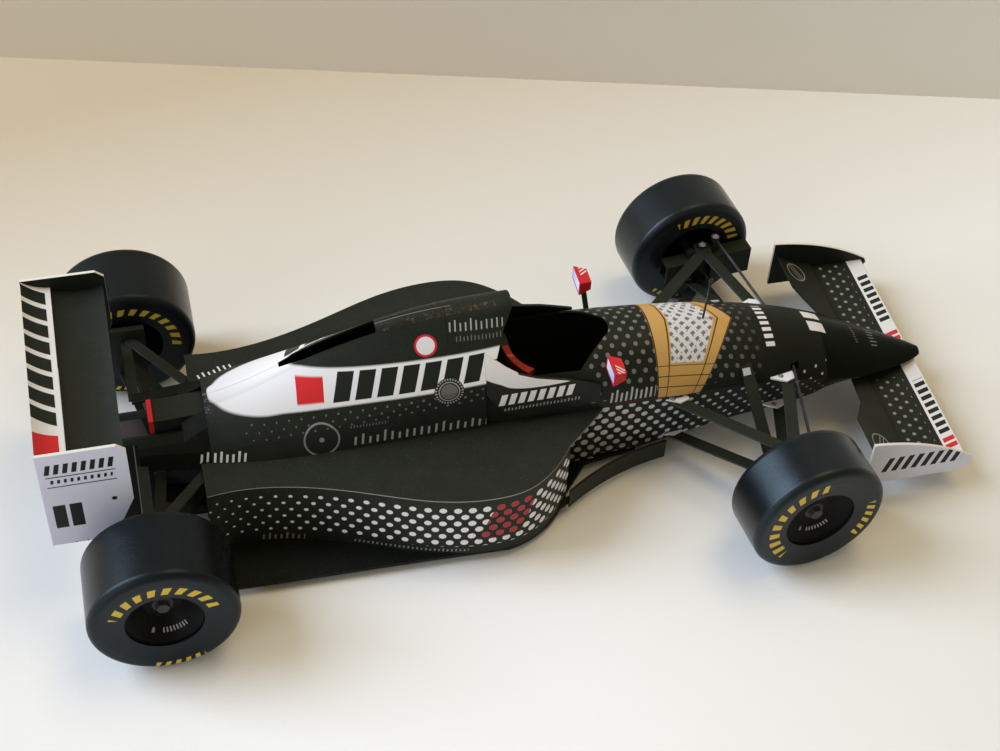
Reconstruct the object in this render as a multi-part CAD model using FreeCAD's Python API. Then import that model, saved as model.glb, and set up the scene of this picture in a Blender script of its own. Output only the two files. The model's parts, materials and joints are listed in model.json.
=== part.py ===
"""Card scale model of an open wheel racing car, as separate pieces on real joints.

Millimetres. +X points to the nose, +Y to the car's left, +Z up. The origin lies on the
ground at the middle of the overall length. Stations in the tables are measured from the
rear axle unless a column says otherwise.
"""
import FreeCAD, Part
import math
import os

V = FreeCAD.Vector

# ---------------------------------------------------------------- driving dimensions
WHEELBASE = 121.0
REAR_OVERHANG = 17.8          # rear wing trailing edge behind the rear axle
FRONT_OVERHANG = 40.3         # nose tip ahead of the front axle
REAR_TRACK = 69.0             # between the middles of the tyres
FRONT_TRACK = 75.4

REAR_TYRE_R = 13.63
REAR_TYRE_W = 15.3
FRONT_TYRE_R = 13.48
FRONT_TYRE_W = 11.9
RIM_R = 7.5                   # seat of the tyre on the rim
RIM_LIP = 0.45                # the tyre's bead stands this much inside the seat
REAR_DISH = 4.4               # wheel disc behind the tyre's outer face
FRONT_DISH = 2.9
REST_STEER_DEG = 7.0          # the front wheels rest turned to the left

CARD = 0.4                    # one sheet of card
BOARD = 0.6                   # two sheets glued together
RUNNING_FIT = 0.06            # radial clearance of every turning fit
SEAT_GAP = 0.05               # glue line between two pieces

FLOOR_Z = 1.5                 # underside of the floor
FLOOR_T = 0.8
DECK_Z = 18.0                 # top of the sidepods, where the engine cover sits
WING_Z = 7.6                  # top of the front wing's main plane
REAR_WING_Z = 40.0            # top of the rear wing
REAR_WING_HALF = 22.4         # outer face of the rear endplates
FRONT_WING_HALF = 29.6        # outer face of the front endplates
BEAM_Z = 20.0                 # underside of the lower rear wing

AXLE_R = 0.9                  # stub axles
KINGPIN_R = 0.4
KINGPIN_X = 1.2               # kingpins ahead of the front axle
KINGPIN_Y = 30.2
KINGPIN_LOW = FRONT_TYRE_R - 5.18     # height of the lower wishbone's outer end
KINGPIN_HIGH = FRONT_TYRE_R + 3.32    # height of the upper wishbone's outer end
ARM_W = 2.4                   # card strips of the suspension
ARM_T = 0.45
TIE_ROD_R = 0.3
STUD_R = 0.3                  # pin on the steering arm that the tie rod's eye drops over
TIE_ROD_X = 2.9               # tie rod's outer end ahead of the kingpin
TIE_ROD_Z = 18.6
RACK_X = 8.2                  # tie rod's inner end ahead of the front axle

NOSE_SEAM = 15.5              # joint of the nose cone ahead of the front axle
SEAT_REAR = 71.0              # rear edge of the seat's back
COCKPIT_APEX = 91.6
COCKPIT_HALF = 7.6
COVER_TAIL = 12.6             # rear tip of the engine cover
COVER_FRONT = 65.0            # its front edge, below the airbox
AIRBOX_FRONT = 71.6
POD_INNER = 10.4              # inner wall of a sidepod
GEARBOX_REAR = 2.4
LAMP_REAR = 2.0
LAMP_T = 0.9
CRASH_HALF = 2.9              # half width of the crash structure

FLOOR_TOP = FLOOR_Z + FLOOR_T
FRONT_AXLE = WHEELBASE
NOSE_TIP = WHEELBASE + FRONT_OVERHANG
WING_TAIL = -REAR_OVERHANG
MIDDLE = (NOSE_TIP + WING_TAIL) / 2.0
TUB_REAR = COVER_FRONT + 0.15
COCKPIT_REAR = TUB_REAR + 1.2


# ---------------------------------------------------------------- small helpers
def at(station):
    """Station from the rear axle to the part's own x."""
    return station - MIDDLE


def P(station, y, z):
    return V(at(station), y, z)


def line(a, b):
    return Part.makeLine(a, b)


def arc(a, b, c):
    return Part.Arc(a, b, c).toShape()


def face(edges):
    return Part.Face(Part.Wire(edges))


def polygon(points):
    return Part.Face(Part.makePolygon(list(points) + [points[0]]))


def box(x0, x1, y0, y1, z0, z1):
    return Part.makeBox(x1 - x0, y1 - y0, z1 - z0, V(at(x0), y0, z0))


def rod(a, b, radius):
    return Part.makeCylinder(radius, (b - a).Length, a, b - a)


def mirrored(shape):
    """The same piece on the other side of the car."""
    return shape.mirror(V(0, 0, 0), V(0, 1, 0))


def side(shape, sign):
    """Pieces are drawn on the left, at positive y; sign -1 gives the right one."""
    return shape if sign > 0 else mirrored(shape)


def one_solid(shape):
    """The piece's single solid, freed from any compound around it."""
    solids = shape.Solids
    return max(solids, key=lambda s: s.Volume)


def outermost(shape):
    """The solid farthest to the left, of a piece cut into several."""
    return max(shape.Solids, key=lambda s: s.CenterOfMass.y)


def group(*shapes):
    return Part.makeCompound([s for shape in shapes for s in shape.Solids])


def profile_along_y(points_xz, y0, y1):
    """A flat outline in the XZ plane, given as stations and heights, pulled along y."""
    outline = polygon([P(x, y0, z) for x, z in points_xz])
    return outline.extrude(V(0, y1 - y0, 0))


def blade(front, middle, rear, thickness, y0, y1):
    """A cambered sheet: its top follows an arc through three (station, z) points."""
    low = [(x, z - thickness) for x, z in (front, middle, rear)]
    top = arc(*[P(x, y0, z) for x, z in (front, middle, rear)])
    bottom = arc(*[P(x, y0, z) for x, z in low])
    ends = [line(P(front[0], y0, front[1]), P(low[0][0], y0, low[0][1])),
            line(P(rear[0], y0, rear[1]), P(low[2][0], y0, low[2][1]))]
    return face([top, ends[1], bottom, ends[0]]).extrude(V(0, y1 - y0, 0))


def strip(a, b, width=ARM_W, thickness=ARM_T):
    """A flat card strip from a to b, its width level."""
    length = (b - a).Length
    along = (b - a).normalize()
    across = V(0, 0, 1).cross(along).normalize()
    up = along.cross(across)
    matrix = FreeCAD.Matrix(along.x, across.x, up.x, a.x,
                            along.y, across.y, up.y, a.y,
                            along.z, across.z, up.z, a.z,
                            0, 0, 0, 1)
    bar = Part.makeBox(length, width, thickness, V(0, -width / 2, -thickness / 2))
    return bar.transformGeometry(matrix)


# ---------------------------------------------------------------- monocoque and nose
# Columns: station, bottom half width, bottom z, widest half width, its z, top z.
TUB_SECTIONS = [
    (TUB_REAR, 10.0, 2.9, 10.9, 18.0, 29.5),
    (74.6, 10.0, 2.9, 10.95, 18.0, 29.6),
    (84.0, 10.2, 2.9, 11.2, 18.2, 29.7),
    (97.0, 10.2, 3.1, 11.2, 18.3, 28.9),
    (FRONT_AXLE - 9.0, 9.0, 5.2, 11.1, 18.1, 27.0),
    (FRONT_AXLE + 3.0, 7.9, 6.1, 10.6, 17.0, 24.5),
    (FRONT_AXLE + NOSE_SEAM, 6.4, 7.0, 9.3, 14.4, 20.5),
]
# Columns: distance behind the nose tip, then as above. The cone rests on the wing.
NOSE_SECTIONS = [
    (FRONT_OVERHANG - NOSE_SEAM, 6.4, 7.0, 9.3, 14.4, 20.5),
    (16.5, 4.9, WING_Z, 8.2, 11.9, 16.4),
    (9.6, 3.9, WING_Z, 5.9, 10.2, 13.2),
    (4.0, 2.4, WING_Z, 3.7, 9.0, 10.6),
    (0.0, 0.9, WING_Z, 1.2, 8.0, 8.8),
]


def tub_wire(station, half_bottom, z_bottom, half_wide, z_wide, z_top, inset=0.0):
    bottom = half_bottom - inset
    wide = half_wide - inset
    low = z_bottom + inset
    left_low, right_low = P(station, bottom, low), P(station, -bottom, low)
    left, right = P(station, wide, z_wide), P(station, -wide, z_wide)
    top = P(station, 0, z_top - inset)
    return Part.Wire([line(right_low, left_low), line(left_low, left),
                      arc(left, top, right), line(right, right_low)])


def tub_loft(rows, inset=0.0):
    return Part.makeLoft([tub_wire(*row, inset=inset) for row in rows], True, False)


def nose_rows():
    return [(NOSE_TIP - back,) + tuple(rest) for back, *rest in NOSE_SECTIONS]


def moved_row(row, shift):
    return (row[0] + shift,) + tuple(row[1:])


def tub_outer(glue=0.0):
    return tub_loft(TUB_SECTIONS, inset=-glue)


def nose_outer(glue=0.0):
    return tub_loft(nose_rows(), inset=-glue)


def cockpit_prism():
    """The cockpit's plan outline: straight sides and a rounded point at the front."""
    half_rear, half_front = COCKPIT_HALF, COCKPIT_HALF + 0.6
    front_side = COCKPIT_APEX - 7.4
    rear_left = P(COCKPIT_REAR, half_rear, 22)
    rear_right = P(COCKPIT_REAR, -half_rear, 22)
    side_left = P(front_side, half_front, 22)
    side_right = P(front_side, -half_front, 22)
    apex_left = P(COCKPIT_APEX - 0.6, 2.2, 22)
    apex_right = P(COCKPIT_APEX - 0.6, -2.2, 22)
    apex = P(COCKPIT_APEX, 0, 22)
    outline = face([line(rear_right, rear_left), line(rear_left, side_left),
                    line(side_left, apex_left), arc(apex_left, apex, apex_right),
                    line(apex_right, side_right), line(side_right, rear_right)])
    return outline.extrude(V(0, 0, 12))


def tub():
    """Hollow monocoque: both end walls closed, the cockpit open above."""
    rows = list(TUB_SECTIONS)
    rows[0] = moved_row(rows[0], BOARD)
    rows[-1] = moved_row(rows[-1], -BOARD)
    shell = tub_outer().cut(tub_loft(rows, inset=CARD))
    shell = shell.cut(cockpit_prism())
    for sign in (1, -1):
        slot = box(FRONT_AXLE + RACK_X - 1.1, FRONT_AXLE + RACK_X + 0.7,
                   min(0, sign * 14), max(0, sign * 14), TIE_ROD_Z - 0.7, TIE_ROD_Z + 0.7)
        shell = shell.cut(slot)
    return one_solid(shell)


def nose_cone():
    rows = nose_rows()
    inner = [rows[0], rows[1], rows[2]]
    hollow = tub_loft(inner, inset=CARD)
    return one_solid(nose_outer().cut(hollow).cut(front_main_plane()))


# ---------------------------------------------------------------- cockpit
def seat():
    """Folded card seat: a raked back and a short cushion."""
    back = profile_along_y([(SEAT_REAR, 24.75), (SEAT_REAR + 1.6, 24.75),
                            (SEAT_REAR + 5.2, 6.4), (SEAT_REAR + 13.0, 8.2),
                            (SEAT_REAR + 13.0, 3.7), (SEAT_REAR + 3.4, 3.7)], -5.6, 5.6)
    relief = profile_along_y([(SEAT_REAR + 3.0, 20.0), (SEAT_REAR + 6.0, 7.6),
                              (SEAT_REAR + 13.4, 9.4), (SEAT_REAR + 13.4, 21.0)],
                             -5.0, 5.0)
    return one_solid(back.cut(relief))


def belt():
    """Padded collar over the seat's back, round to the right side of the cockpit."""
    z0, height = 24.8, 2.0
    rear = SEAT_REAR - 0.4
    outer = [P(rear, 0.4, z0), P(rear + 1.1, -4.2, z0),
             P(rear + 3.4, -COCKPIT_HALF + SEAT_GAP, z0)]
    inner = [P(rear + 1.3, 0.4, z0), P(rear + 2.2, -3.6, z0), P(rear + 4.8, -6.6, z0)]
    pad = face([arc(*outer), line(outer[2], inner[2]),
                arc(*inner), line(inner[0], outer[0])])
    return one_solid(pad.extrude(V(0, 0, height)))


def cockpit_side(sign):
    """Raised side of the cockpit, a curved board outside the monocoque."""
    def rib(station, inward):
        points = [(11.9, DECK_Z + 1.2), (10.9, 26.4), (7.2, 34.0)]
        return arc(*[P(station, y - inward, z) for y, z in points])

    def section(station, inward):
        outer, inner = rib(station, inward), rib(station, inward + BOARD)
        joints = [line(outer.Vertexes[i].Point, inner.Vertexes[i].Point) for i in (0, 1)]
        return Part.Wire([outer, joints[1], inner, joints[0]])

    rear = COVER_FRONT + SEAT_GAP
    wall = Part.makeLoft([section(rear, 0.0), section(rear + 24.0, 0.4)], True, True)
    outline = [(rear, 33.8), (rear + 1.8, 32.4), (rear + 4.1, 30.6), (rear + 6.3, 29.2),
               (rear + 9.8, 27.9), (rear + 15.8, 26.5), (rear + 22.6, 24.0), (rear + 22.6, 20.4),
               (rear + 18.0, 19.6), (rear + 7.0, 19.4), (rear + 3.4, 21.2), (rear, 26.0)]
    piece = wall.common(profile_along_y(outline, 0, 20)).cut(tub_outer(SEAT_GAP))
    cover = cover_loft(COVER_SECTIONS, inset=-SEAT_GAP)
    piece = piece.cut(cover.cut(cover_front_cutter(-SEAT_GAP)))
    return side(one_solid(piece), sign)


# ---------------------------------------------------------------- engine cover
# Columns: station, base half width, then half width and height of the shoulder, of the
# flank and of the crown, then the top's height. The base lies on the deck.
COVER_SECTIONS = [
    (COVER_TAIL, 10.6, 9.4, 19.8, 6.2, 23.2, 2.4, 25.0, 25.7),
    (28.0, 12.2, 10.8, 22.2, 6.4, 27.4, 2.0, 30.5, 31.3),
    (45.0, 12.1, 10.7, 25.0, 6.0, 32.4, 1.8, 37.1, 38.1),
    (58.0, 11.9, 10.4, 27.4, 6.4, 34.4, 2.7, 39.0, 40.2),
    (AIRBOX_FRONT, 11.7, 10.3, 28.4, 6.7, 34.4, 3.1, 39.1, 41.0),
]


def cover_wire(station, base, shoulder_y, shoulder_z, flank_y, flank_z,
               crown_y, crown_z, top_z, inset=0.0, z_base=DECK_Z):
    def points(hand):
        return [P(station, hand * (base - inset), z_base),
                P(station, hand * (shoulder_y - inset), shoulder_z),
                P(station, hand * (flank_y - inset * 0.8), flank_z - inset * 0.6),
                P(station, hand * (crown_y - inset * 0.6), crown_z - inset * 0.8)]

    left, right = points(1), points(-1)
    top = P(station, 0, top_z - inset)
    return Part.Wire([line(right[0], left[0]), line(left[0], left[1]), arc(*left[1:]),
                      arc(left[3], top, right[3]), arc(*reversed(right[1:])),
                      line(right[1], right[0])])


def cover_loft(rows, inset=0.0, z_base=DECK_Z):
    return Part.makeLoft([cover_wire(*row, inset=inset, z_base=z_base) for row in rows],
                         True, False)


def cover_front_cutter(back):
    """What lies ahead of the cover's swept front edge, moved back by a distance."""
    far = AIRBOX_FRONT + 12.0
    points = [(COVER_FRONT, DECK_Z - 3), (COVER_FRONT, 32.4), (COVER_FRONT + 2.4, 32.6),
              (COVER_FRONT + 3.2, 34.6), (AIRBOX_FRONT - 2.2, 37.2),
              (AIRBOX_FRONT - 0.4, 39.8), (AIRBOX_FRONT + 1.0, 46.0)]
    outline = [(x - back, z) for x, z in points] + [(far, 46.0), (far, DECK_Z - 3)]
    return profile_along_y(outline, -16, 16)


def cover_inner(glue=0.0):
    rows = list(COVER_SECTIONS)
    rows[-1] = moved_row(rows[-1], 1.0)
    return cover_loft(rows, inset=CARD + glue, z_base=DECK_Z - 1.0)


def engine_cover():
    """Card shell from the airbox to the tail, with the slot along its spine."""
    shell = cover_loft(COVER_SECTIONS).cut(cover_inner())
    shell = shell.cut(cover_front_cutter(0.0))
    slot = polygon([P(27.2, 0.6, 27), P(27.2, -0.6, 27), P(32.0, -1.3, 27),
                    P(45.6, -1.6, 27), P(45.6, 1.6, 27), P(32.0, 1.3, 27)])
    return one_solid(shell.cut(slot.extrude(V(0, 0, 17))))


def roll_bulkhead():
    """Board closing the front of the cover, with the engine's air intake through it."""
    slab = cover_inner(SEAT_GAP).cut(cover_front_cutter(0.3))
    slab = slab.common(cover_front_cutter(0.3 + BOARD))
    above_deck = box(COVER_FRONT - 8, AIRBOX_FRONT + 4, -14, 14, DECK_Z, 46)
    slab = slab.common(above_deck)
    mouth = P(COVER_FRONT - 2, 0, 35.6)
    crown = arc(mouth + V(0, -2.4, 2.2), mouth + V(0, 0, 4.3), mouth + V(0, 2.4, 2.2))
    sill = arc(mouth + V(0, 3.4, -1.4), mouth + V(0, 0, -2.4), mouth + V(0, -3.4, -1.4))
    intake = face([crown, line(mouth + V(0, 2.4, 2.2), mouth + V(0, 3.4, -1.4)),
                   sill, line(mouth + V(0, -3.4, -1.4), mouth + V(0, -2.4, 2.2))])
    return one_solid(slab.cut(intake.extrude(V(12, 0, 0))))


def tail_fairing(sign, glue=0.0):
    """Rear flank of the bodywork beside the gearbox, behind the cover's tail."""
    def bent(station, foot, shoulder, flank, inner):
        """Folded strip through four (half width, z) points, one card thick."""
        outside = [P(station, y + glue, z) for y, z in (foot, shoulder, flank, inner)]
        inside = [P(station, inner[0], inner[1] - CARD),
                  P(station, flank[0] - CARD * 0.6, flank[1] - CARD),
                  P(station, shoulder[0] - CARD, shoulder[1] - CARD * 0.4),
                  P(station, foot[0] - CARD, foot[1])]
        return Part.makePolygon(outside + inside + outside[:1])

    rear, step, front = -0.6 - glue, 8.0, COVER_TAIL - SEAT_GAP
    waist = [(10.2, 16.7), (8.9, 20.0), (7.2, 21.3)]
    tail = Part.makeLoft([bent(rear, (8.8, 16.8), (8.0, 20.0), (6.9, 20.8), (4.7, 20.9)),
                          bent(step, *waist, (4.8, 21.7))], True, True)
    roof = Part.makeLoft([bent(step, *waist, (3.05, 22.4)),
                          bent(front, (10.9, 16.6), (9.35, 19.8), (6.15, 23.2), (3.1, 24.7))],
                         True, True)
    over_deck = box(POD_PLAN[0][0] - SEAT_GAP, COVER_TAIL, 0, 20, DECK_Z - 3, DECK_Z)
    return side(one_solid(tail.fuse(roof).cut(over_deck)), sign)


# ---------------------------------------------------------------- sidepods and floor
# Plan of the left sidepod's outer wall. Columns: station, half width of the car there.
POD_PLAN = [
    (10.6, 18.5),
    (28.0, 19.6),
    (39.0, 23.2),
    (51.0, 27.7),
    (62.0, 29.5),
    (70.0, 28.3),
    (75.4, 24.6),
    (79.6, 19.8),
]


def pod_curve(rows, inset, z):
    points = [P(x, y - inset, z) for x, y in rows]
    curve = Part.BSplineCurve()
    curve.interpolate(points)
    return curve.toShape(), points


def pod_block(inset, z0, z1, inner_y, stretch=0.0):
    """Everything within the sidepod's outer wall, less an inset, between two heights."""
    rows = list(POD_PLAN)
    rows[0] = (rows[0][0] - stretch, rows[0][1])
    rows[-1] = (rows[-1][0] + stretch * 0.66, rows[-1][1] - stretch * 0.75)
    curve, points = pod_curve(rows, inset, z0)
    nose = P(rows[-1][0] + 8.6, POD_INNER + 1.6, z0)
    nose_in = P(rows[-1][0] + 8.6, inner_y, z0)
    rear = P(rows[0][0], inner_y, z0)
    outline = face([curve, line(points[-1], nose), line(nose, nose_in),
                    line(nose_in, rear), line(rear, points[0])])
    return outline.extrude(V(0, 0, z1 - z0))


def sidepod(sign):
    """Folded card: outer wall, roof and inner wall, open to the front, rear and floor."""
    outer = pod_block(0.0, FLOOR_TOP, DECK_Z, POD_INNER)
    rows_front = POD_PLAN[-1][0] + 12.0
    hollow = pod_block(CARD, FLOOR_TOP - 1, DECK_Z - CARD, POD_INNER + CARD, stretch=2.0)
    shell = outer.cut(hollow)
    mouth = box(POD_PLAN[-1][0] + 0.2, rows_front, POD_INNER + CARD, 30,
                FLOOR_TOP - 1, DECK_Z - CARD)
    shell = shell.cut(mouth)
    return side(one_solid(shell.cut(tub_outer(SEAT_GAP))), sign)


def floor():
    """Flat board under the whole car, narrow between the rear wheels and at the bib."""
    rear, half = 13.9, 28.4
    left = [P(1.8, 8.8, FLOOR_Z), P(rear - 0.2, 8.8, FLOOR_Z), P(rear, half, FLOOR_Z),
            P(52.0, 29.0, FLOOR_Z)]
    front = [P(66.0, 29.4, FLOOR_Z), P(74.5, 25.6, FLOOR_Z), P(80.2, 18.4, FLOOR_Z)]
    bib = [P(86.0, 11.6, FLOOR_Z), P(97.0, 9.8, FLOOR_Z)]
    half_edges = [line(left[0], left[1]), line(left[1], left[2]), line(left[2], left[3]),
                  line(left[3], front[0]), arc(*front), line(front[2], bib[0]),
                  line(bib[0], bib[1])]
    other = [mirrored(e) for e in half_edges]
    closing = [line(left[0], V(left[0].x, -left[0].y, left[0].z)),
               line(bib[1], V(bib[1].x, -bib[1].y, bib[1].z))]
    outline = Part.Face(Part.Wire(Part.__sortEdges__(half_edges + other + closing)))
    return one_solid(outline.extrude(V(0, 0, FLOOR_T)))


def diffuser():
    """Ramp below the gearbox with upright fences, glued under the floor's tail."""
    ramp = profile_along_y([(14.0, FLOOR_TOP), (1.8, 6.6), (1.8, 7.2), (13.0, FLOOR_TOP + 0.6)],
                           -8.8, 8.8)
    fences = [profile_along_y([(13.0, FLOOR_TOP), (1.8, FLOOR_TOP), (1.8, 6.7)],
                              y - CARD / 2, y + CARD / 2) for y in (-8.6, -3.0, 3.0, 8.6)]
    return one_solid(ramp.fuse(fences))


def gearbox_block(inset=0.0):
    """Tapered block of the gearbox, moved inwards all round by the inset."""
    def section(station, half):
        low, high = 7.4 + inset, 17.4 - inset
        foot, head = half - inset, half - 0.6 - inset
        return Part.makePolygon([P(station, -foot, low), P(station, foot, low),
                                 P(station, head, high), P(station, -head, high),
                                 P(station, -foot, low)])

    return Part.makeLoft([section(GEARBOX_REAR + inset, 4.6), section(24.0 - inset, 8.6)],
                         True, True)


def gearbox():
    """Closed card box between the rear wheels that the rear arms are glued to."""
    return one_solid(gearbox_block().cut(gearbox_block(CARD)))


def crash_box():
    """Rear impact structure on the gearbox, open where it enters the cover."""
    rear, front = LAMP_REAR + LAMP_T, 18.0
    beam = profile_along_y([(rear, 17.5), (rear, 23.2), (front, 24.0), (front, 17.5)],
                           -CRASH_HALF, CRASH_HALF)
    hollow = profile_along_y([(rear + CARD, 17.5 + CARD), (rear + CARD, 23.2 - CARD),
                              (front + 1, 24.0 - CARD), (front + 1, 17.5 + CARD)],
                             -CRASH_HALF + CARD, CRASH_HALF - CARD)
    return one_solid(beam.cut(hollow))


def wing_strut(sign):
    """Board strut from the crash structure to the lower rear wing."""
    y0 = CRASH_HALF + SEAT_GAP
    plate = profile_along_y([(-13.0, BEAM_Z), (10.0, BEAM_Z), (10.0, BEAM_Z - 1.7),
                             (-4.0, BEAM_Z - 1.7), (-13.0, BEAM_Z - 0.8)], y0, y0 + BOARD)
    return side(plate, sign)


def rear_lamp():
    """Flat tail lamp on the end of the crash structure."""
    return box(LAMP_REAR, LAMP_REAR + LAMP_T, -CRASH_HALF, CRASH_HALF, 17.5, 23.4)


# ---------------------------------------------------------------- side details
def bargeboard(sign):
    """Low curved board on edge ahead of the sidepod."""
    def run(offset):
        return [P(80.0, 21.6 + offset, FLOOR_Z), P(89.6, 16.2 + offset, FLOOR_Z),
                P(102.4, 12.6 + offset, FLOOR_Z)]
    outer, inner = run(0.0), run(-BOARD)
    outline = face([arc(*outer), line(outer[2], inner[2]),
                    arc(*inner), line(inner[0], outer[0])])
    return side(outline.extrude(V(0, 0, 4.6)), sign)


def board_bracket(sign):
    """Tab that carries the bargeboard's tail from the sidepod's front corner."""
    tab = polygon([P(76.0, 20.4, FLOOR_TOP), P(76.8, 23.0, FLOOR_TOP),
                   P(80.2, 21.2, FLOOR_TOP), P(80.6, 19.6, FLOOR_TOP)])
    pod = pod_block(-SEAT_GAP, FLOOR_Z, DECK_Z, POD_INNER)
    tab = tab.extrude(V(0, 0, CARD)).cut(bargeboard(1)).cut(pod)
    return side(one_solid(tab), sign)


MIRROR_X = 88.6
MIRROR_Y = 12.6
MIRROR_Z = 29.6


def mirror_stalk(sign):
    foot = P(MIRROR_X + 1.6, 9.2, 24.2)
    head = P(MIRROR_X + 1.4, MIRROR_Y - 0.4, MIRROR_Z - 1.5)
    post = strip(foot, head, 1.0, 0.5)
    return side(one_solid(post.cut(tub_outer(SEAT_GAP)).cut(mirror_block())), sign)


def mirror_block():
    """Housing of a mirror: a small wedge, deeper at the glass than in front."""
    glass = [P(MIRROR_X, MIRROR_Y - 2.6, MIRROR_Z - 1.6), P(MIRROR_X, MIRROR_Y + 2.6, MIRROR_Z - 1.6),
             P(MIRROR_X, MIRROR_Y + 2.6, MIRROR_Z + 1.6), P(MIRROR_X, MIRROR_Y - 2.6, MIRROR_Z + 1.6)]
    nose = [P(MIRROR_X + 2.6, MIRROR_Y - 1.9, MIRROR_Z - 1.1),
            P(MIRROR_X + 2.6, MIRROR_Y + 1.9, MIRROR_Z - 1.1),
            P(MIRROR_X + 2.6, MIRROR_Y + 1.9, MIRROR_Z + 1.0),
            P(MIRROR_X + 2.6, MIRROR_Y - 1.9, MIRROR_Z + 1.0)]
    wires = [Part.makePolygon(ring + [ring[0]]) for ring in (glass, nose)]
    return Part.makeLoft(wires, True, True)


def antenna():
    mast = rod(P(FRONT_AXLE - 9.6, 0, 26.2), P(FRONT_AXLE - 9.2, 0, 36.6), 0.22)
    return one_solid(mast.cut(tub_outer(SEAT_GAP)))


# ---------------------------------------------------------------- wings
def front_main_plane():
    lead, trail = NOSE_TIP - 1.2, NOSE_TIP - 14.6
    half = FRONT_WING_HALF - BOARD
    z0 = WING_Z - 0.9
    nose = arc(P(lead - 0.4, -half, z0), P(lead, -half, WING_Z - 0.45), P(lead - 0.4, -half, WING_Z))
    outline = face([nose, line(P(lead - 0.4, -half, WING_Z), P(trail, -half, WING_Z)),
                    line(P(trail, -half, WING_Z), P(trail, -half, WING_Z - 0.3)),
                    line(P(trail, -half, WING_Z - 0.3), P(lead - 4.0, -half, z0)),
                    line(P(lead - 4.0, -half, z0), P(lead - 0.4, -half, z0))])
    return one_solid(outline.extrude(V(0, 2 * half, 0)))


def front_flap(sign):
    """Cambered flap whose chord shortens towards the nose."""
    lead, trail = NOSE_TIP - 13.6, NOSE_TIP - 21.7
    half = FRONT_WING_HALF - BOARD
    sheet = blade((lead, WING_Z + 0.9), ((lead + trail) / 2, WING_Z + 2.4),
                  (trail, WING_Z + 4.9), 0.5, 3.0, half)
    plan = polygon([P(lead + 1, 3.0, WING_Z), P(lead + 1, half, WING_Z),
                    P(trail - 1, half, WING_Z), P(trail - 1, 21.0, WING_Z),
                    P(trail + 3.6, 13.0, WING_Z), P(trail + 4.2, 3.0, WING_Z)])
    flap = sheet.common(plan.extrude(V(0, 0, 10)))
    flap = flap.cut(nose_outer(SEAT_GAP))
    return side(one_solid(flap), sign)


def front_endplate(sign):
    rear, lead = NOSE_TIP - 22.6, NOSE_TIP
    y0 = FRONT_WING_HALF - BOARD
    high = arc(P(rear, y0, 15.6), P(rear + 13.0, y0, 12.6), P(lead - 0.4, y0, 7.7))
    outline = face([high, line(P(lead - 0.4, y0, 7.7), P(lead, y0, 6.6)),
                    line(P(lead, y0, 6.6), P(lead - 1.9, y0, 3.9)),
                    line(P(lead - 1.9, y0, 3.9), P(rear, y0, 3.9)),
                    line(P(rear, y0, 3.9), P(rear, y0, 15.6))])
    return side(outline.extrude(V(0, BOARD, 0)), sign)


def rear_main_plane():
    half = REAR_WING_HALF - BOARD
    z = REAR_WING_Z - 3.4
    return blade((-2.8, z), (-7.6, z - 0.7), (-12.4, z + 0.4), 0.9, -half, half)


def rear_flap():
    half = REAR_WING_HALF - BOARD
    z = REAR_WING_Z - 2.4
    return blade((-12.5, z), (-15.2, z + 0.7), (WING_TAIL + 0.1, REAR_WING_Z - 0.1),
                 0.5, -half, half)


def rear_lower_plane():
    half = REAR_WING_HALF - BOARD
    z = BEAM_Z + SEAT_GAP + 0.9
    return blade((-6.0, z), (-9.8, z + 0.2), (-13.6, z), 0.9, -half, half)


def rear_endplate(sign):
    y0 = REAR_WING_HALF - BOARD
    top, front = REAR_WING_Z, -2.3
    points = [(WING_TAIL, top), (front - 1.6, top), (front, top - 1.4), (front, 25.6),
              (front - 2.2, 20.6), (-8.0, 15.7), (WING_TAIL, 15.7)]
    return side(profile_along_y(points, y0, y0 + BOARD), sign)


# ---------------------------------------------------------------- front suspension
# Columns: inner end ahead of the front axle, inner half width, inner z, outer z.
UPPER_LEGS = [(-19.1, 9.8, 16.6), (6.4, 9.2, 17.5)]
LOWER_LEGS = [(-17.6, 8.8, 5.0), (6.6, 7.2, 8.0)]
# Each leg's paper tab: its rear and front ends ahead of the front axle, half width at its tip.
UPPER_TABS = [(-19.6, -14.9, 12.5), (2.4, 7.3, 11.9)]
LOWER_TABS = [(-20.3, -14.4, 10.9), (2.8, 7.3, 10.4)]


def kingpin(z):
    return P(FRONT_AXLE + KINGPIN_X, KINGPIN_Y, z)


def arm_pad(z_middle):
    """Board pad round the kingpin at the outer end of a wishbone."""
    middle = FRONT_AXLE + KINGPIN_X
    pad = box(middle - 1.6, middle + 1.6, KINGPIN_Y - 1.9, KINGPIN_Y + 1.0,
              z_middle - BOARD / 2, z_middle + BOARD / 2)
    hole = rod(kingpin(z_middle - 2), kingpin(z_middle + 2), KINGPIN_R + RUNNING_FIT)
    return pad.cut(hole)


def wishbone(legs, z_outer):
    """Two strips from the monocoque to the pad; the front one is in one piece with it."""
    target = kingpin(z_outer) - V(0, 1.4, 0)
    beyond = box(FRONT_AXLE - 4, FRONT_AXLE + 6, KINGPIN_Y - 1.9, KINGPIN_Y + 4,
                 z_outer - 3, z_outer + 3)
    rear_leg, front_leg = [strip(P(FRONT_AXLE + x, y, z), target)
                           .cut(beyond).cut(tub_outer(SEAT_GAP)) for x, y, z in legs]
    front_leg = one_solid(front_leg)
    rear_leg = one_solid(rear_leg.cut(front_leg))
    return [one_solid(arm_pad(z_outer).fuse(front_leg)), rear_leg]


def both_sides(solids):
    return Part.makeCompound(solids + [mirrored(s) for s in solids])


def front_upper_arms():
    return both_sides(wishbone(UPPER_LEGS, KINGPIN_HIGH))


def front_lower_arms():
    return both_sides(wishbone(LOWER_LEGS, KINGPIN_LOW))


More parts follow.
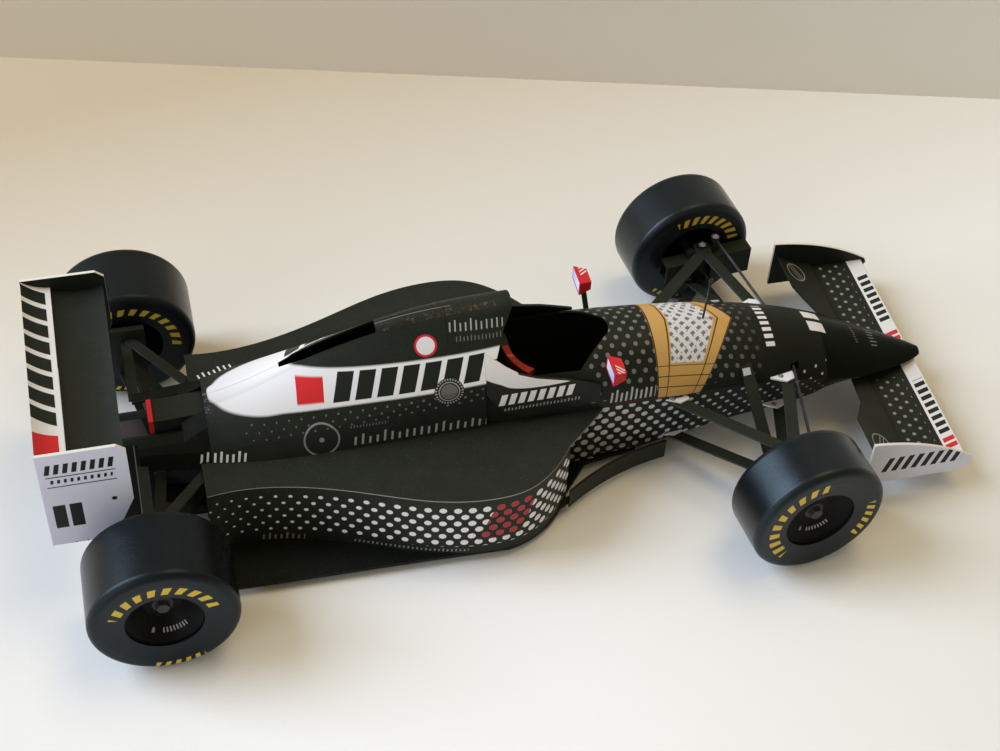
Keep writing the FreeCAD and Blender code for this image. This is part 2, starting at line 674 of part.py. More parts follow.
def front_pushrods():
    """Strip from the lower wishbone's outer end up to the monocoque."""
    low = P(FRONT_AXLE - 1.2, KINGPIN_Y - 1.6, KINGPIN_LOW + 0.2)
    high = P(FRONT_AXLE - 2.9, 7.4, 22.3)
    bar = strip(low, high, 2.4, ARM_T).cut(tub_outer(SEAT_GAP))
    return both_sides([one_solid(bar.cut(front_lower_arms()))])


def arm_brackets():
    """White paper tabs, cut to a point, where the front legs meet the monocoque."""
    blocked = tub_outer(SEAT_GAP).fuse([front_pushrods(), tie_rods()])
    tabs = []
    for legs, places in ((UPPER_LEGS, UPPER_TABS), (LOWER_LEGS, LOWER_TABS)):
        for (_, _, z), (x0, x1, tip) in zip(legs, places):
            base = z + ARM_T / 2 + SEAT_GAP
            rear, front = FRONT_AXLE + x0, FRONT_AXLE + x1
            outline = polygon([P(rear, tip - 4, base), P(front, tip - 4, base),
                               P(front, tip - 0.7, base), P(front - 1.9, tip, base),
                               P(rear, tip - 1.4, base)])
            tab = outline.extrude(V(0, 0, CARD)).cut(blocked)
            tabs.append(outermost(tab.cut(front_upper_arms()).cut(front_lower_arms())))
    return both_sides(tabs)


def steer(shape, sign):
    """Turn a piece of a front wheel about its own kingpin to the rest angle."""
    turned = shape.copy()
    pivot = P(FRONT_AXLE + KINGPIN_X, sign * KINGPIN_Y, 0)
    turned.rotate(pivot, V(0, 0, 1), REST_STEER_DEG)
    return turned


def front_upright(sign):
    """Upright with kingpin, steering arm and stub axle."""
    low = KINGPIN_LOW + BOARD / 2 + SEAT_GAP
    high = KINGPIN_HIGH - BOARD / 2 - SEAT_GAP
    y0, y1 = KINGPIN_Y - BOARD, KINGPIN_Y + BOARD
    plate = box(FRONT_AXLE - 2.2, FRONT_AXLE + 3.0, y0, y1, low, high)
    pin = rod(kingpin(KINGPIN_LOW - 0.8), kingpin(KINGPIN_HIGH + 0.8), KINGPIN_R)
    axle_end = FRONT_TRACK / 2 + FRONT_TYRE_W / 2 - FRONT_DISH + 0.2
    axle = rod(P(FRONT_AXLE, KINGPIN_Y, FRONT_TYRE_R),
               P(FRONT_AXLE, axle_end, FRONT_TYRE_R), AXLE_R)
    stud_x = FRONT_AXLE + KINGPIN_X + TIE_ROD_X
    arm = box(FRONT_AXLE, stud_x + 0.9, y0, y1, high - 1.0, high)
    stud = rod(P(stud_x, KINGPIN_Y, high - 0.5), P(stud_x, KINGPIN_Y, TIE_ROD_Z + 0.5), STUD_R)
    whole = plate.fuse([pin, axle, arm, stud])
    return steer(side(one_solid(whole), sign), sign)


def open_box(x0, x1, y0, y1, z0, z1):
    """Card duct along x, open at both ends."""
    duct = box(x0, x1, y0, y1, z0, z1)
    bore = box(x0 - 1, x1 + 1, y0 + CARD, y1 - CARD, z0 + CARD, z1 - CARD)
    return one_solid(duct.cut(bore))


def brake_duct(sign):
    """Air scoop ahead of the upright and its short outlet behind."""
    y0, y1 = KINGPIN_Y - 2.2, KINGPIN_Y + 1.1
    scoop = open_box(FRONT_AXLE + 3.05, FRONT_AXLE + 12.2, y0, y1, 8.8, 15.3)
    outlet = open_box(FRONT_AXLE - 7.6, FRONT_AXLE - 2.25, y0, y1, 10.6, 15.0)
    return steer(side(group(scoop, outlet), sign), sign)


def tie_rods():
    """One wire through the nose with an eye at each end, over the steering arms' studs."""
    centres = []
    wire = []
    for sign in (1, -1):
        pivot = P(FRONT_AXLE + KINGPIN_X, sign * KINGPIN_Y, TIE_ROD_Z)
        turned = FreeCAD.Rotation(V(0, 0, 1), REST_STEER_DEG)
        centre = pivot + turned.multVec(V(TIE_ROD_X, 0, 0))
        inner = P(FRONT_AXLE + RACK_X, sign * 6.0, TIE_ROD_Z)
        centres.append(centre)
        wire += [rod(inner, centre, TIE_ROD_R), Part.makeSphere(TIE_ROD_R, inner),
                 Part.makeCylinder(0.95, 0.6, centre - V(0, 0, 0.3))]
    middle = rod(P(FRONT_AXLE + RACK_X, -6.0, TIE_ROD_Z), P(FRONT_AXLE + RACK_X, 6.0, TIE_ROD_Z),
                 TIE_ROD_R)
    whole = middle.fuse(wire)
    for centre in centres:
        whole = whole.cut(Part.makeCylinder(STUD_R + 0.12, 2.0, centre - V(0, 0, 1.0)))
    return one_solid(whole)


# ---------------------------------------------------------------- rear suspension
REAR_UPRIGHT_Y = 24.6


def rear_uprights():
    plate = box(-3.6, 3.6, REAR_UPRIGHT_Y, REAR_UPRIGHT_Y + 1.2, 7.6, 20.6)
    axle_end = REAR_TRACK / 2 + REAR_TYRE_W / 2 - REAR_DISH + 0.2
    axle = rod(P(0, REAR_UPRIGHT_Y + 1, REAR_TYRE_R), P(0, axle_end, REAR_TYRE_R), AXLE_R)
    return both_sides([one_solid(plate.fuse(axle))])


# Columns: inner station, inner half width, inner z, outer station, outer z.
REAR_ARM_ROWS = [
    (11.9, 10.4, 16.2, 0.3, 18.1),
    (-0.2, 8.5, 17.6, -0.3, 17.6),
    (3.2, 3.6, 9.0, -1.4, 8.6),
    (12.0, 5.0, 9.0, 1.6, 8.6),
    (3.4, 3.6, 14.4, 1.2, 15.2),
]


def rear_arms():
    """Strips to the uprights: two from the flanks above, three from the gearbox."""
    core = gearbox_block(-SEAT_GAP)
    outboard = box(-9, 30, REAR_UPRIGHT_Y, 40, 0, 30)
    strips = []
    for x0, y0, z0, x1, z1 in REAR_ARM_ROWS:
        arm = strip(P(x0, y0, z0), P(x1, REAR_UPRIGHT_Y, z1), 2.0)
        arm = arm.cut(core).cut(outboard).cut(tail_fairing(1, SEAT_GAP)).cut(sidepod(1))
        for other in strips:
            arm = arm.cut(other)
        strips.append(outermost(arm))
    return both_sides(strips)


def driveshafts():
    shaft = rod(P(0.0 + 3.4, 4.2, 11.2), P(0, REAR_UPRIGHT_Y, REAR_TYRE_R), 0.7)
    shaft = shaft.cut(gearbox_block(-SEAT_GAP))
    shaft = shaft.cut(box(-9, 30, REAR_UPRIGHT_Y, 40, 0, 30))
    return both_sides([one_solid(shaft)])


# ---------------------------------------------------------------- wheels
def turned_profile(points, centre):
    """Spin an outline of (radius, distance along the axle) about the axle."""
    outline = polygon([centre + V(0, y, r) for r, y in points])
    return one_solid(outline.revolve(centre, V(0, 1, 0), 360))


def tyre(radius, width, centre):
    """Barrel with round shoulders, flat sidewalls and a bead step at each rim edge."""
    half = width / 2
    shoulder = 1.5
    bead = RIM_R - RIM_LIP
    wall = half - 0.35

    def at_rim(r, y):
        return centre + V(0, y, r)

    edges = []
    for s in (1, -1):
        edges.append(line(at_rim(RIM_R, s * (half - 1.0)), at_rim(bead, s * (half - 1.0))))
        edges.append(line(at_rim(bead, s * (half - 1.0)), at_rim(bead, s * wall)))
        edges.append(line(at_rim(bead, s * wall), at_rim(radius - shoulder - 1.2, s * half)))
        edges.append(line(at_rim(radius - shoulder - 1.2, s * half),
                          at_rim(radius - shoulder, s * half)))
        swing = shoulder * math.sqrt(0.5)
        edges.append(arc(at_rim(radius - shoulder, s * half),
                         at_rim(radius - shoulder + swing, s * (half - shoulder + swing)),
                         at_rim(radius, s * (half - shoulder))))
    edges.append(line(at_rim(RIM_R, half - 1.0), at_rim(RIM_R, -half + 1.0)))
    edges.append(line(at_rim(radius, half - shoulder), at_rim(radius, -half + shoulder)))
    outline = Part.Face(Part.Wire(Part.__sortEdges__(edges)))
    return one_solid(outline.revolve(centre, V(0, 1, 0), 360))


def rim(width, dish, centre):
    """Dished wheel: barrel, cone to the hub, bored hub and a hexagon nut outside."""
    half = width / 2
    edge = half - 1.0
    barrel = RIM_R - CARD - 0.2
    face_y = half - dish
    hub_r = 2.3
    hub_end = face_y - 2.6
    points = [(RIM_R, -edge), (RIM_R, edge), (barrel, edge),
              (barrel - 0.5, edge - 0.4), (hub_r + 1.1, face_y),
              (0.0, face_y), (0.0, hub_end), (hub_r, hub_end), (hub_r, face_y - 0.7),
              (hub_r + 1.1, face_y - 0.7), (barrel, edge - 1.5), (barrel, -edge)]
    wheel = turned_profile(points, centre)
    bore = rod(centre + V(0, hub_end - 1, 0), centre + V(0, face_y + 0.35, 0),
               AXLE_R + RUNNING_FIT)
    hexagon = [V(1.25 * math.cos(math.radians(60 * i)), 0, 1.25 * math.sin(math.radians(60 * i)))
               for i in range(6)]
    nut = polygon([centre + V(0, face_y - 0.1, 0) + h for h in hexagon]).extrude(V(0, 1.2, 0))
    return one_solid(wheel.fuse(nut).cut(bore))


def wheel_piece(maker, sign, front):
    radius = FRONT_TYRE_R if front else REAR_TYRE_R
    track = FRONT_TRACK if front else REAR_TRACK
    station = FRONT_AXLE if front else 0.0
    piece = side(maker(P(station, track / 2, radius)), sign)
    return steer(piece, sign) if front else piece


def front_tyre(sign):
    return wheel_piece(lambda c: tyre(FRONT_TYRE_R, FRONT_TYRE_W, c), sign, True)


def rear_tyre(sign):
    return wheel_piece(lambda c: tyre(REAR_TYRE_R, REAR_TYRE_W, c), sign, False)


def front_rim(sign):
    return wheel_piece(lambda c: rim(FRONT_TYRE_W, FRONT_DISH, c), sign, True)


def rear_rim(sign):
    return wheel_piece(lambda c: rim(REAR_TYRE_W, REAR_DISH, c), sign, False)


# ---------------------------------------------------------------- all pieces
SINGLE = {
    "floor": floor,
    "diffuser": diffuser,
    "gearbox": gearbox,
    "crash_box": crash_box,
    "rear_lamp": rear_lamp,
    "tub": tub,
    "nose_cone": nose_cone,
    "seat": seat,
    "belt": belt,
    "engine_cover": engine_cover,
    "roll_bulkhead": roll_bulkhead,
    "antenna": antenna,
    "front_main_plane": front_main_plane,
    "rear_main_plane": rear_main_plane,
    "rear_flap": rear_flap,
    "rear_lower_plane": rear_lower_plane,
    "front_upper_arms": front_upper_arms,
    "front_lower_arms": front_lower_arms,
    "front_pushrods": front_pushrods,
    "arm_brackets": arm_brackets,
    "tie_rods": tie_rods,
    "rear_uprights": rear_uprights,
    "rear_arms": rear_arms,
    "driveshafts": driveshafts,
}
PAIRED = {
    "sidepod": sidepod,
    "cockpit_side": cockpit_side,
    "tail_fairing": tail_fairing,
    "bargeboard": bargeboard,
    "front_flap": front_flap,
    "front_endplate": front_endplate,
    "rear_endplate": rear_endplate,
    "front_upright": front_upright,
    "brake_duct": brake_duct,
    "front_tyre": front_tyre,
    "rear_tyre": rear_tyre,
    "front_rim": front_rim,
    "rear_rim": rear_rim,
}
# Like pieces on the chassis that share a node, one solid a side.
SHARED = {
    "board_brackets": board_bracket,
    "mirror_stalks": mirror_stalk,
    "mirror_housings": lambda sign: side(mirror_block(), sign),
    "wing_struts": wing_strut,
}


def main():
    os.makedirs("parts", exist_ok=True)
    nodes = {name: make() for name, make in SINGLE.items()}
    for name, make in PAIRED.items():
        nodes[name + "_left"] = make(1)
        nodes[name + "_right"] = make(-1)
    for name, make in SHARED.items():
        nodes[name] = group(make(1), make(-1))
    for name, shape in nodes.items():
        shape.exportStep("parts/" + name + ".step")


main()
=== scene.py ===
import json
import math

import bmesh
import bpy
from mathutils import Matrix, Vector


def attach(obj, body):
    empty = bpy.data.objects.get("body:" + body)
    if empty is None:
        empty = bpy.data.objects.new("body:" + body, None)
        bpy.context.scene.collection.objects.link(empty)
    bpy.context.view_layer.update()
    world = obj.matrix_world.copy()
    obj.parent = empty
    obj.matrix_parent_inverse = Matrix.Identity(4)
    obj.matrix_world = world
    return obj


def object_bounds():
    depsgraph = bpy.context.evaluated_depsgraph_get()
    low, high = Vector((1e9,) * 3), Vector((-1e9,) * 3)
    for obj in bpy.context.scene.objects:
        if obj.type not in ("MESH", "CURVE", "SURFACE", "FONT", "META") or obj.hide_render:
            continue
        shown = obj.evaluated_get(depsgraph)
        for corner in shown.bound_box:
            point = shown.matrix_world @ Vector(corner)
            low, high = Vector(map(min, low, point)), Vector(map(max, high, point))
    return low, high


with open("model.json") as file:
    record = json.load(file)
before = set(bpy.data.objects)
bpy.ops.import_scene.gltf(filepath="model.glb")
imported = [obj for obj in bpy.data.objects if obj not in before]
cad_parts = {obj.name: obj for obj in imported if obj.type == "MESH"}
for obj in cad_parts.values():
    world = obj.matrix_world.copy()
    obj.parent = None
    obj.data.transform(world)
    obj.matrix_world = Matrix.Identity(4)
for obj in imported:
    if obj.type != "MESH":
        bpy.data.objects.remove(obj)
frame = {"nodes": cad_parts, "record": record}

CAD_BOX = [list(corner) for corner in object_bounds()]

# Lengths on the car are millimetres from the rear axle line: x ahead, y to the left, z up.
MM = 0.001
JOINTS = {joint["name"]: joint for joint in frame["record"]["behaviour"]["joints"]}
REAR_AXLE = Vector((JOINTS["rear_left_spin"]["pos_m"][0], 0.0, 0.0))
FRONT_AXLE_MM = 121.0
DECK_MM = 18.0
SIDES = (("left", 1.0), ("right", -1.0))
SOFT = 0.06                      # width of a printed edge

# Linear colours.
INK = (0.0145, 0.0175, 0.0128)
# Tyre black tinted blue as a painted sheen, and a blue tint on the tyres' reflections: painted
# light of the cool window.
TYRE_INK_WITH_SHEEN = (0.0046, 0.0062, 0.0074)
PAINTED_SHEEN_TINT = (0.70, 0.88, 1.0)
RIM_INK = (0.0045, 0.0046, 0.0048)
WHITE = (0.74, 0.73, 0.745)
# White raised above the paper's own white where the band and the cockpit side fall in shade:
# painted light.
WHITE_WITH_PAINTED_LIGHT = (0.8436, 0.8322, 0.8493)
SILVER = (0.36, 0.36, 0.35)
GREY_DOT = (0.17, 0.17, 0.155)
LILAC = (0.74, 0.76, 0.92)
RED = (0.62, 0.025, 0.03)
PATCH_RED = (0.46, 0.034, 0.04)
GOLD = (0.55, 0.32, 0.10)
YELLOW = (0.70, 0.49, 0.04)
PAPER = (0.72, 0.70, 0.64)

# Printed card: noise cells in a millimetre, and how deep its grain is.
CLOUD_SCALE = 0.22
SPECK_SCALE = 3.6
GRAIN_SCALE = 7.0
WAVE_SCALE = 0.09
BUMP_DEPTH = 0.1 * MM
CARD_ROUGHNESS = 0.40
GRAIN_ROUGHNESS = 0.16           # added where the grain stands highest
CARD_SHINE = 0.18                # specular level
DULL_SHINE = 0.05                # the same where a print is nearly matt

# Places of printed ornaments, as x, y, z on the car.
ROUNDEL = (54.3, -4.95, 35.6)
KNURLED_DISC = (57.9, -10.2, 27.7)
THIN_RING = (33.24, 20.9)        # x and z, on both flanks
GILT_BACK_X = 99.6
BEND_X = 60.0                    # where the sidepods' walls start to turn in
SIDEPOD_HALF_WIDTH = 29.5
COVER_MIDDLE_X = 46.85           # the left flank's print runs back from the right one's here


def station(x, y, z):
    """A point in metres from millimetres ahead of the rear axle."""
    return Vector((x * MM, y * MM, z * MM)) + REAR_AXLE


def around_axis(point, axis):
    """Matrix that puts a shape made along Z at a point and stands it along an axis."""
    return Matrix.Translation(point) @ Vector(axis).to_track_quat("Z", "X").to_matrix().to_4x4()


# ---------------------------------------------------------------- materials in short calls
class Term:
    """A value that a material's nodes work out. Sums of terms make more nodes."""

    def __init__(self, finish, socket):
        self.finish = finish
        self.socket = socket

    def __add__(self, other):
        return self.finish.math("ADD", self, other)

    def __sub__(self, other):
        return self.finish.math("SUBTRACT", self, other)

    def __rsub__(self, other):
        return self.finish.math("SUBTRACT", other, self)

    def __mul__(self, other):
        return self.finish.math("MULTIPLY", self, other)

    def __truediv__(self, other):
        return self.finish.math("DIVIDE", self, other)

    def __abs__(self):
        return self.finish.math("ABSOLUTE", self)


class Finish:
    """A procedural material whose point is in millimetres from an origin on the object."""

    def __init__(self, name, origin=REAR_AXLE, turn=0.0):
        self.material = bpy.data.materials.new(name)
        self.material.use_nodes = True
        self.tree = self.material.node_tree
        self.tree.nodes.clear()
        self.shader = self.node("ShaderNodeBsdfPrincipled")
        output = self.node("ShaderNodeOutputMaterial")
        self.tree.links.new(self.shader.outputs[0], output.inputs["Surface"])
        place = self.node("ShaderNodeTexCoord")
        mapping = self.node("ShaderNodeMapping")
        mapping.inputs["Scale"].default_value = (1.0 / MM, 1.0 / MM, 1.0 / MM)
        mapping.inputs["Rotation"].default_value = (0.0, 0.0, -turn)
        shift = Matrix.Rotation(-turn, 3, "Z") @ Vector(origin) / -MM
        mapping.inputs["Location"].default_value = shift
        self.tree.links.new(place.outputs["Object"], mapping.inputs["Vector"])
        self.point = Term(self, mapping.outputs[0])
        self.x, self.y, self.z = self.split(self.point)
        self.colour = None

    def node(self, kind, **settings):
        """A new node with its settings."""
        made = self.tree.nodes.new(kind)
        for name, value in settings.items():
            setattr(made, name, value)
        return made

    def feed(self, socket, value):
        """Links a term to a socket, or sets the socket's own value."""
        if isinstance(value, Term):
            self.tree.links.new(value.socket, socket)
        elif isinstance(value, tuple) and len(value) == 3 and socket.type == "RGBA":
            socket.default_value = (*value, 1.0)
        else:
            socket.default_value = value

    def split(self, vector):
        """The three parts of a vector."""
        made = self.node("ShaderNodeSeparateXYZ")
        self.feed(made.inputs[0], vector)
        return [Term(self, socket) for socket in made.outputs]

    def math(self, operation, *values):
        """One Math node's result."""
        made = self.node("ShaderNodeMath", operation=operation)
        for socket, value in zip(made.inputs, values):
            self.feed(socket, value)
        return Term(self, made.outputs[0])

    def facing(self, axis):
        """How far a face looks along X, Y or Z: 1 along it, -1 against it."""
        made = self.node("ShaderNodeNewGeometry")
        return self.split(Term(self, made.outputs["Normal"]))["XYZ".index(axis)]

    def facing_out(self):
        """How far a face looks away from the car's middle plane."""
        return self.facing("Y") * self.math("SIGN", self.y)

    def outward(self):
        """1 on faces that look up or away from the car's middle, 0 inside a shell."""
        return self.above(self.facing_out(), -0.2, 0.1)

    def above(self, value, edge=0.0, soft=SOFT):
        """1 where the value is above the edge, 0 below it, with a short ramp."""
        made = self.node("ShaderNodeMapRange")
        self.feed(made.inputs["Value"], value - edge)
        self.feed(made.inputs["From Min"], -soft / 2.0)
        self.feed(made.inputs["From Max"], soft / 2.0)
        return Term(self, made.outputs["Result"])

    def ramp(self, value, start, end, first=0.0, last=1.0):
        """Goes from first to last as the value goes from start to end, and stays there."""
        made = self.node("ShaderNodeMapRange")
        for name, item in zip(("Value", "From Min", "From Max", "To Min", "To Max"),
                              (value, start, end, first, last)):
            self.feed(made.inputs[name], item)
        return Term(self, made.outputs["Result"])

    def below(self, value, edge, soft=SOFT):
        """The opposite of above."""
        return 1.0 - self.above(value, edge, soft)

    def within(self, value, low, high, soft=SOFT):
        """1 between two edges."""
        return self.above(value, low, soft) * self.below(value, high, soft)

    def box(self, u, v, u0, u1, v0, v1):
        """1 inside a rectangle."""
        return self.within(u, u0, u1) * self.within(v, v0, v1)

    def either(self, first, second):
        """The larger of two values, which joins two masks."""
        return self.math("MAXIMUM", first, second)

    def length(self, *parts):
        """Length of a vector that has these parts."""
        total = parts[0] * parts[0]
        for part in parts[1:]:
            total = total + part * part
        return self.math("SQRT", total)

    def away_from(self, x, y, z):
        """Distance from a point on the car."""
        return self.length(self.x - x, self.y - y, self.z - z)

    def disc(self, u, v, u0, v0, radius):
        """1 inside a circle."""
        return self.below(self.length(u - u0, v - v0), radius)

    def ring(self, u, v, u0, v0, inner, outer):
        """1 between two circles with one centre."""
        return self.within(self.length(u - u0, v - v0), inner, outer)

    def curve(self, value, points):
        """A smooth curve through (value, result) points, level or straight beyond them."""
        low, high = points[0][0], points[-1][0]
        bottom = min(point[1] for point in points)
        top = max(point[1] for point in points)
        made = self.node("ShaderNodeFloatCurve")
        graph = made.mapping.curves[0]
        scaled = [((x - low) / (high - low), (y - bottom) / (top - bottom)) for x, y in points]
        graph.points[0].location = scaled[0]
        graph.points[1].location = scaled[-1]
        for place in scaled[1:-1]:
            graph.points.new(*place)
        made.mapping.update()
        self.feed(made.inputs["Value"], (value - low) / (high - low))
        return Term(self, made.outputs[0]) * (top - bottom) + bottom

    def stripes(self, value, pitch, fill, soft=SOFT):
        """Repeated bands across the value, each filling part of the pitch."""
        phase = self.math("FRACT", value / pitch)
        return self.within(phase, soft / pitch, fill, soft / pitch)

    def dots(self, along, across, pitch, row, radius):
        """Round dots in staggered rows: pitch along a row, and row between rows."""
        first = self.math("FRACT", along / pitch + across / (2.0 * row)) - 0.5
        second = self.math("FRACT", along / pitch - across / (2.0 * row)) - 0.5
        off_along = (first + second) * (pitch / 2.0)
        off_across = (first - second) * row
        return self.above(radius - self.length(off_along, off_across))

    def bars(self, u, v, u0, u1, v0, v1, pitch, fill, slant, ragged=0.0):
        """A row of slanted bars that fills a box, with uneven tops if ragged."""
        leaning = u - (v - v0) * slant
        bars = self.stripes(leaning - u0, pitch, fill)
        if ragged:
            number = self.math("FLOOR", (leaning - u0) / pitch)
            chance = self.node("ShaderNodeTexWhiteNoise", noise_dimensions="1D")
            self.feed(chance.inputs["W"], number)
            top = v1 - Term(self, chance.outputs["Value"]) * (ragged * (v1 - v0))
        else:
            top = v1
        return bars * self.box(leaning, v, u0, u1, v0, top)

    def mix(self, amount, first, second):
        """Goes from the first colour to the second as the amount goes from 0 to 1."""
        made = self.node("ShaderNodeMix", data_type="RGBA")
        for name, value in (("Factor_Float", amount), ("A_Color", first), ("B_Color", second)):
            socket = next(s for s in made.inputs if s.identifier == name)
            self.feed(socket, value)
        return Term(self, next(s for s in made.outputs if s.identifier == "Result_Color"))

    def noise(self, scale, detail, roughness=0.5):
        """Cloudy value from 0 to 1, with its scale in cells to a millimetre."""
        made = self.node("ShaderNodeTexNoise")
        self.feed(made.inputs["Vector"], self.point)
        for name, value in (("Scale", scale), ("Detail", detail), ("Roughness", roughness)):
            self.feed(made.inputs[name], value)
        return Term(self, made.outputs["Fac"])

    def paint(self, mask, colour):
        """Covers what is there with a colour where the mask is 1."""
        self.colour = self.mix(mask, self.colour, colour)

    def done(self, **sockets):
        """Joins the colour and the other named sockets to the shader."""
        if self.colour is not None:
            self.feed(self.shader.inputs["Base Color"], self.colour)
        for name, value in sockets.items():
            self.feed(self.shader.inputs[name.replace("_", " ")], value)
        return self.material

    def clear_behind(self):
        """Makes a backdrop clear from its back, so that it hides nothing."""
        side = self.node("ShaderNodeNewGeometry")
        clear = self.node("ShaderNodeBsdfTransparent")
        either = self.node("ShaderNodeMixShader")
        self.tree.links.new(side.outputs["Backfacing"], either.inputs[0])
        self.tree.links.new(self.shader.outputs[0], either.inputs[1])
        self.tree.links.new(clear.outputs[0], either.inputs[2])
        output = next(n for n in self.tree.nodes if n.type == "OUTPUT_MATERIAL")
        self.tree.links.new(either.outputs[0], output.inputs["Surface"])

    def bump(self, height, distance, strength):
        """Raises the surface by a height, for the light only."""
        made = self.node("ShaderNodeBump")
        self.feed(made.inputs["Height"], height)
        self.feed(made.inputs["Distance"], distance)
        self.feed(made.inputs["Strength"], strength)
        self.feed(self.shader.inputs["Normal"], Term(self, made.outputs[0]))


def shade(colour, factor):
    """A colour made darker or lighter."""
    return tuple(channel * factor for channel in colour)


def card(name, ink=INK, spread=0.3, specks=0.35, **place):
    """Printed card: cloudy ink, fine pale specks, paper grain and a slight wave."""
    finish = Finish(name, **place)
    cloud = finish.noise(CLOUD_SCALE, 4.0)
    finish.colour = finish.mix(cloud, shade(ink, 1.0 - spread), shade(ink, 1.0 + spread))
    speck = finish.above(finish.noise(SPECK_SCALE, 2.0, 0.7), 0.70, 0.12)
    finish.paint(speck * specks, shade(PAPER, 0.22))
    grain = finish.noise(GRAIN_SCALE, 3.0, 0.6)
    wave = finish.noise(WAVE_SCALE, 1.0)
    finish.bump(grain * 0.10 + wave * 2.4, BUMP_DEPTH, 0.6)
    finish.gloss = grain * GRAIN_ROUGHNESS + CARD_ROUGHNESS
    return finish


def close_card(finish, **sockets):
    """Joins a card finish to its shader, with other socket values where they are given."""
    settings = {"Roughness": finish.gloss, "IOR": 1.45, "Specular_IOR_Level": CARD_SHINE}
    settings.update(sockets)
    return finish.done(**settings)


def dress(material, *nodes):
    """Gives CAD nodes a finish."""
    for name in nodes:
        slots = frame["nodes"][name].data.materials
        if not slots:
            slots.append(material)
        for index in range(len(slots)):
            slots[index] = material


# ---------------------------------------------------------------- bodywork
def band_floor(finish):
    """Height of the white band's lower edge along the engine cover."""
    return finish.curve(finish.x, [(13.3, 26.1), (14.6, 25.4), (18.9, 25.1), (28.0, 25.9),
                                   (39.0, 26.8), (52.0, 27.6), (66.0, 28.6)])


def band_roof(finish):
    """Height of the white band's upper edge, which climbs forwards."""
    return finish.x * 0.075 + 29.51


def paint_cover_band(finish, along, out):
    """White band with a red square and slanted black bars, over faint dots."""
    x, z = finish.x, finish.z
    floor = band_floor(finish)
    height = (z - floor) / (band_roof(finish) - floor)
    under = floor - z
    size = finish.ramp(x, 20.0, 64.0, 0.13, 0.30)
    faint = finish.dots(x, under, 2.3, 1.1, size) * finish.within(under, 0.5, 4.0)
    finish.paint(faint * finish.within(x, 19.0, 64.5) * out, shade(GREY_DOT, 0.8))
    band = finish.within(height, 0.0, 1.0) * finish.above(x, 13.3) * out
    # the band is painted whiter towards the front: painted light against the shade there
    finish.paint(band, finish.mix(finish.ramp(x, 20.0, 62.0), WHITE, WHITE_WITH_PAINTED_LIGHT))
    finish.paint(finish.box(along - height * 0.5, height, 29.4, 34.4, 0.16, 0.80) * out, RED)
    bars = finish.bars(along, height * 5.6, 36.0, 64.3, 0.7, 5.1, 4.1, 0.76, 0.35)
    finish.paint(bars * out, INK)


def paint_cover_wear_and_highlights(finish):
    """Worn ridge, painted gold highlights beside the slot, painted bluish highlights at the tail,
    and a seam.
    """
    x, y, z = finish.x, finish.y, finish.z
    ridge = finish.within(y, -0.07, 0.07) * finish.below(x, 60.0)
    finish.paint(ridge * 0.5, SILVER)
    crease = finish.within(abs(y), 0.5, 1.9) * finish.within(x, 46.5, 68.5)
    # painted highlights: warm glints along the crease beside the slot
    glint = finish.above(finish.noise(1.3, 3.0, 0.7), 0.60, 0.08)
    finish.paint(crease * glint * finish.above(z, 34.0) * 0.13, GOLD)
    # painted highlight: a bluish glint where the tail's edge faces the window
    tail_highlight = finish.above(finish.noise(2.6, 3.0, 0.7), 0.56, 0.1) * finish.within(x, 12.0, 14.0)
    finish.paint(tail_highlight * finish.within(y, -4.0, 0.5) * 0.22, (0.40, 0.46, 0.60))
    seam = finish.within(x, 58.5, 58.62) * finish.above(z, 36.0)
    finish.paint(seam, shade(INK, 0.3))


def paint_roundel(finish):
    """Blank white disc with a red edge."""
    away = finish.away_from(*ROUNDEL)
    finish.paint(finish.below(away, 2.15), RED)
    finish.paint(finish.below(away, 1.72), WHITE)


def paint_knurled_disc(finish):
    """Black disc with a ring of teeth and a thin ring round its grey middle."""
    away = finish.away_from(*KNURLED_DISC)
    turn = finish.math("ARCTAN2", finish.z - KNURLED_DISC[2], finish.x - KNURLED_DISC[0])
    teeth = finish.stripes(turn + math.pi, math.tau / 28.0, 0.6, 0.02)
    finish.paint(finish.below(away, 2.85), INK)
    finish.paint(finish.within(away, 2.35, 2.7) * teeth, SILVER)
    finish.paint(finish.within(away, 1.85, 2.05), SILVER)
    finish.paint(finish.below(away, 1.6), shade(GREY_DOT, 0.8))


def engine_cover_finish():
    """White band that runs into a rounded tail, with a roundel and plain bars."""
    finish = card("cover_print")
    x, z = finish.x, finish.z
    out = finish.outward()
    along = x + finish.above(finish.y) * (COVER_MIDDLE_X * 2.0 - x * 2.0)
    paint_cover_band(finish, along, out)
    paint_cover_wear_and_highlights(finish)
    paint_roundel(finish)
    paint_knurled_disc(finish)
    ring = finish.ring(along, z, *THIN_RING, 3.1, 3.45)
    ring = finish.either(ring, finish.disc(along, z, *THIN_RING, 0.5))
    finish.paint(ring * out, shade(SILVER, 0.7))
    # rows of bars: long and short ones on the flank, the tail's, and two by the intake
    flank = finish.bars(along, z, 39.2, 66.2, 18.7, 21.2, 1.42, 0.34, 0.1, 0.45)
    finish.paint(flank * out, SILVER)
    short = finish.bars(along, z, 38.7, 46.0, 22.6, 23.3, 0.6, 0.4, 0.1, 0.3)
    finish.paint(short * out, GREY_DOT)
    tail = finish.bars(x, z, 12.8, 19.3, 18.1, 20.1, 1.1, 0.45, 0.2, 0.35)
    finish.paint(tail * out, WHITE)
    upper = finish.bars(x, z, 58.9, 69.2, 37.5, 39.2, 1.0, 0.35, 0.1, 0.35)
    finish.paint(upper * out, SILVER)
    lower = finish.bars(x, z, 60.0, 69.0, 36.0, 36.9, 0.7, 0.35, 0.1, 0.3)
    finish.paint(lower * out, GREY_DOT)
    return close_card(finish)


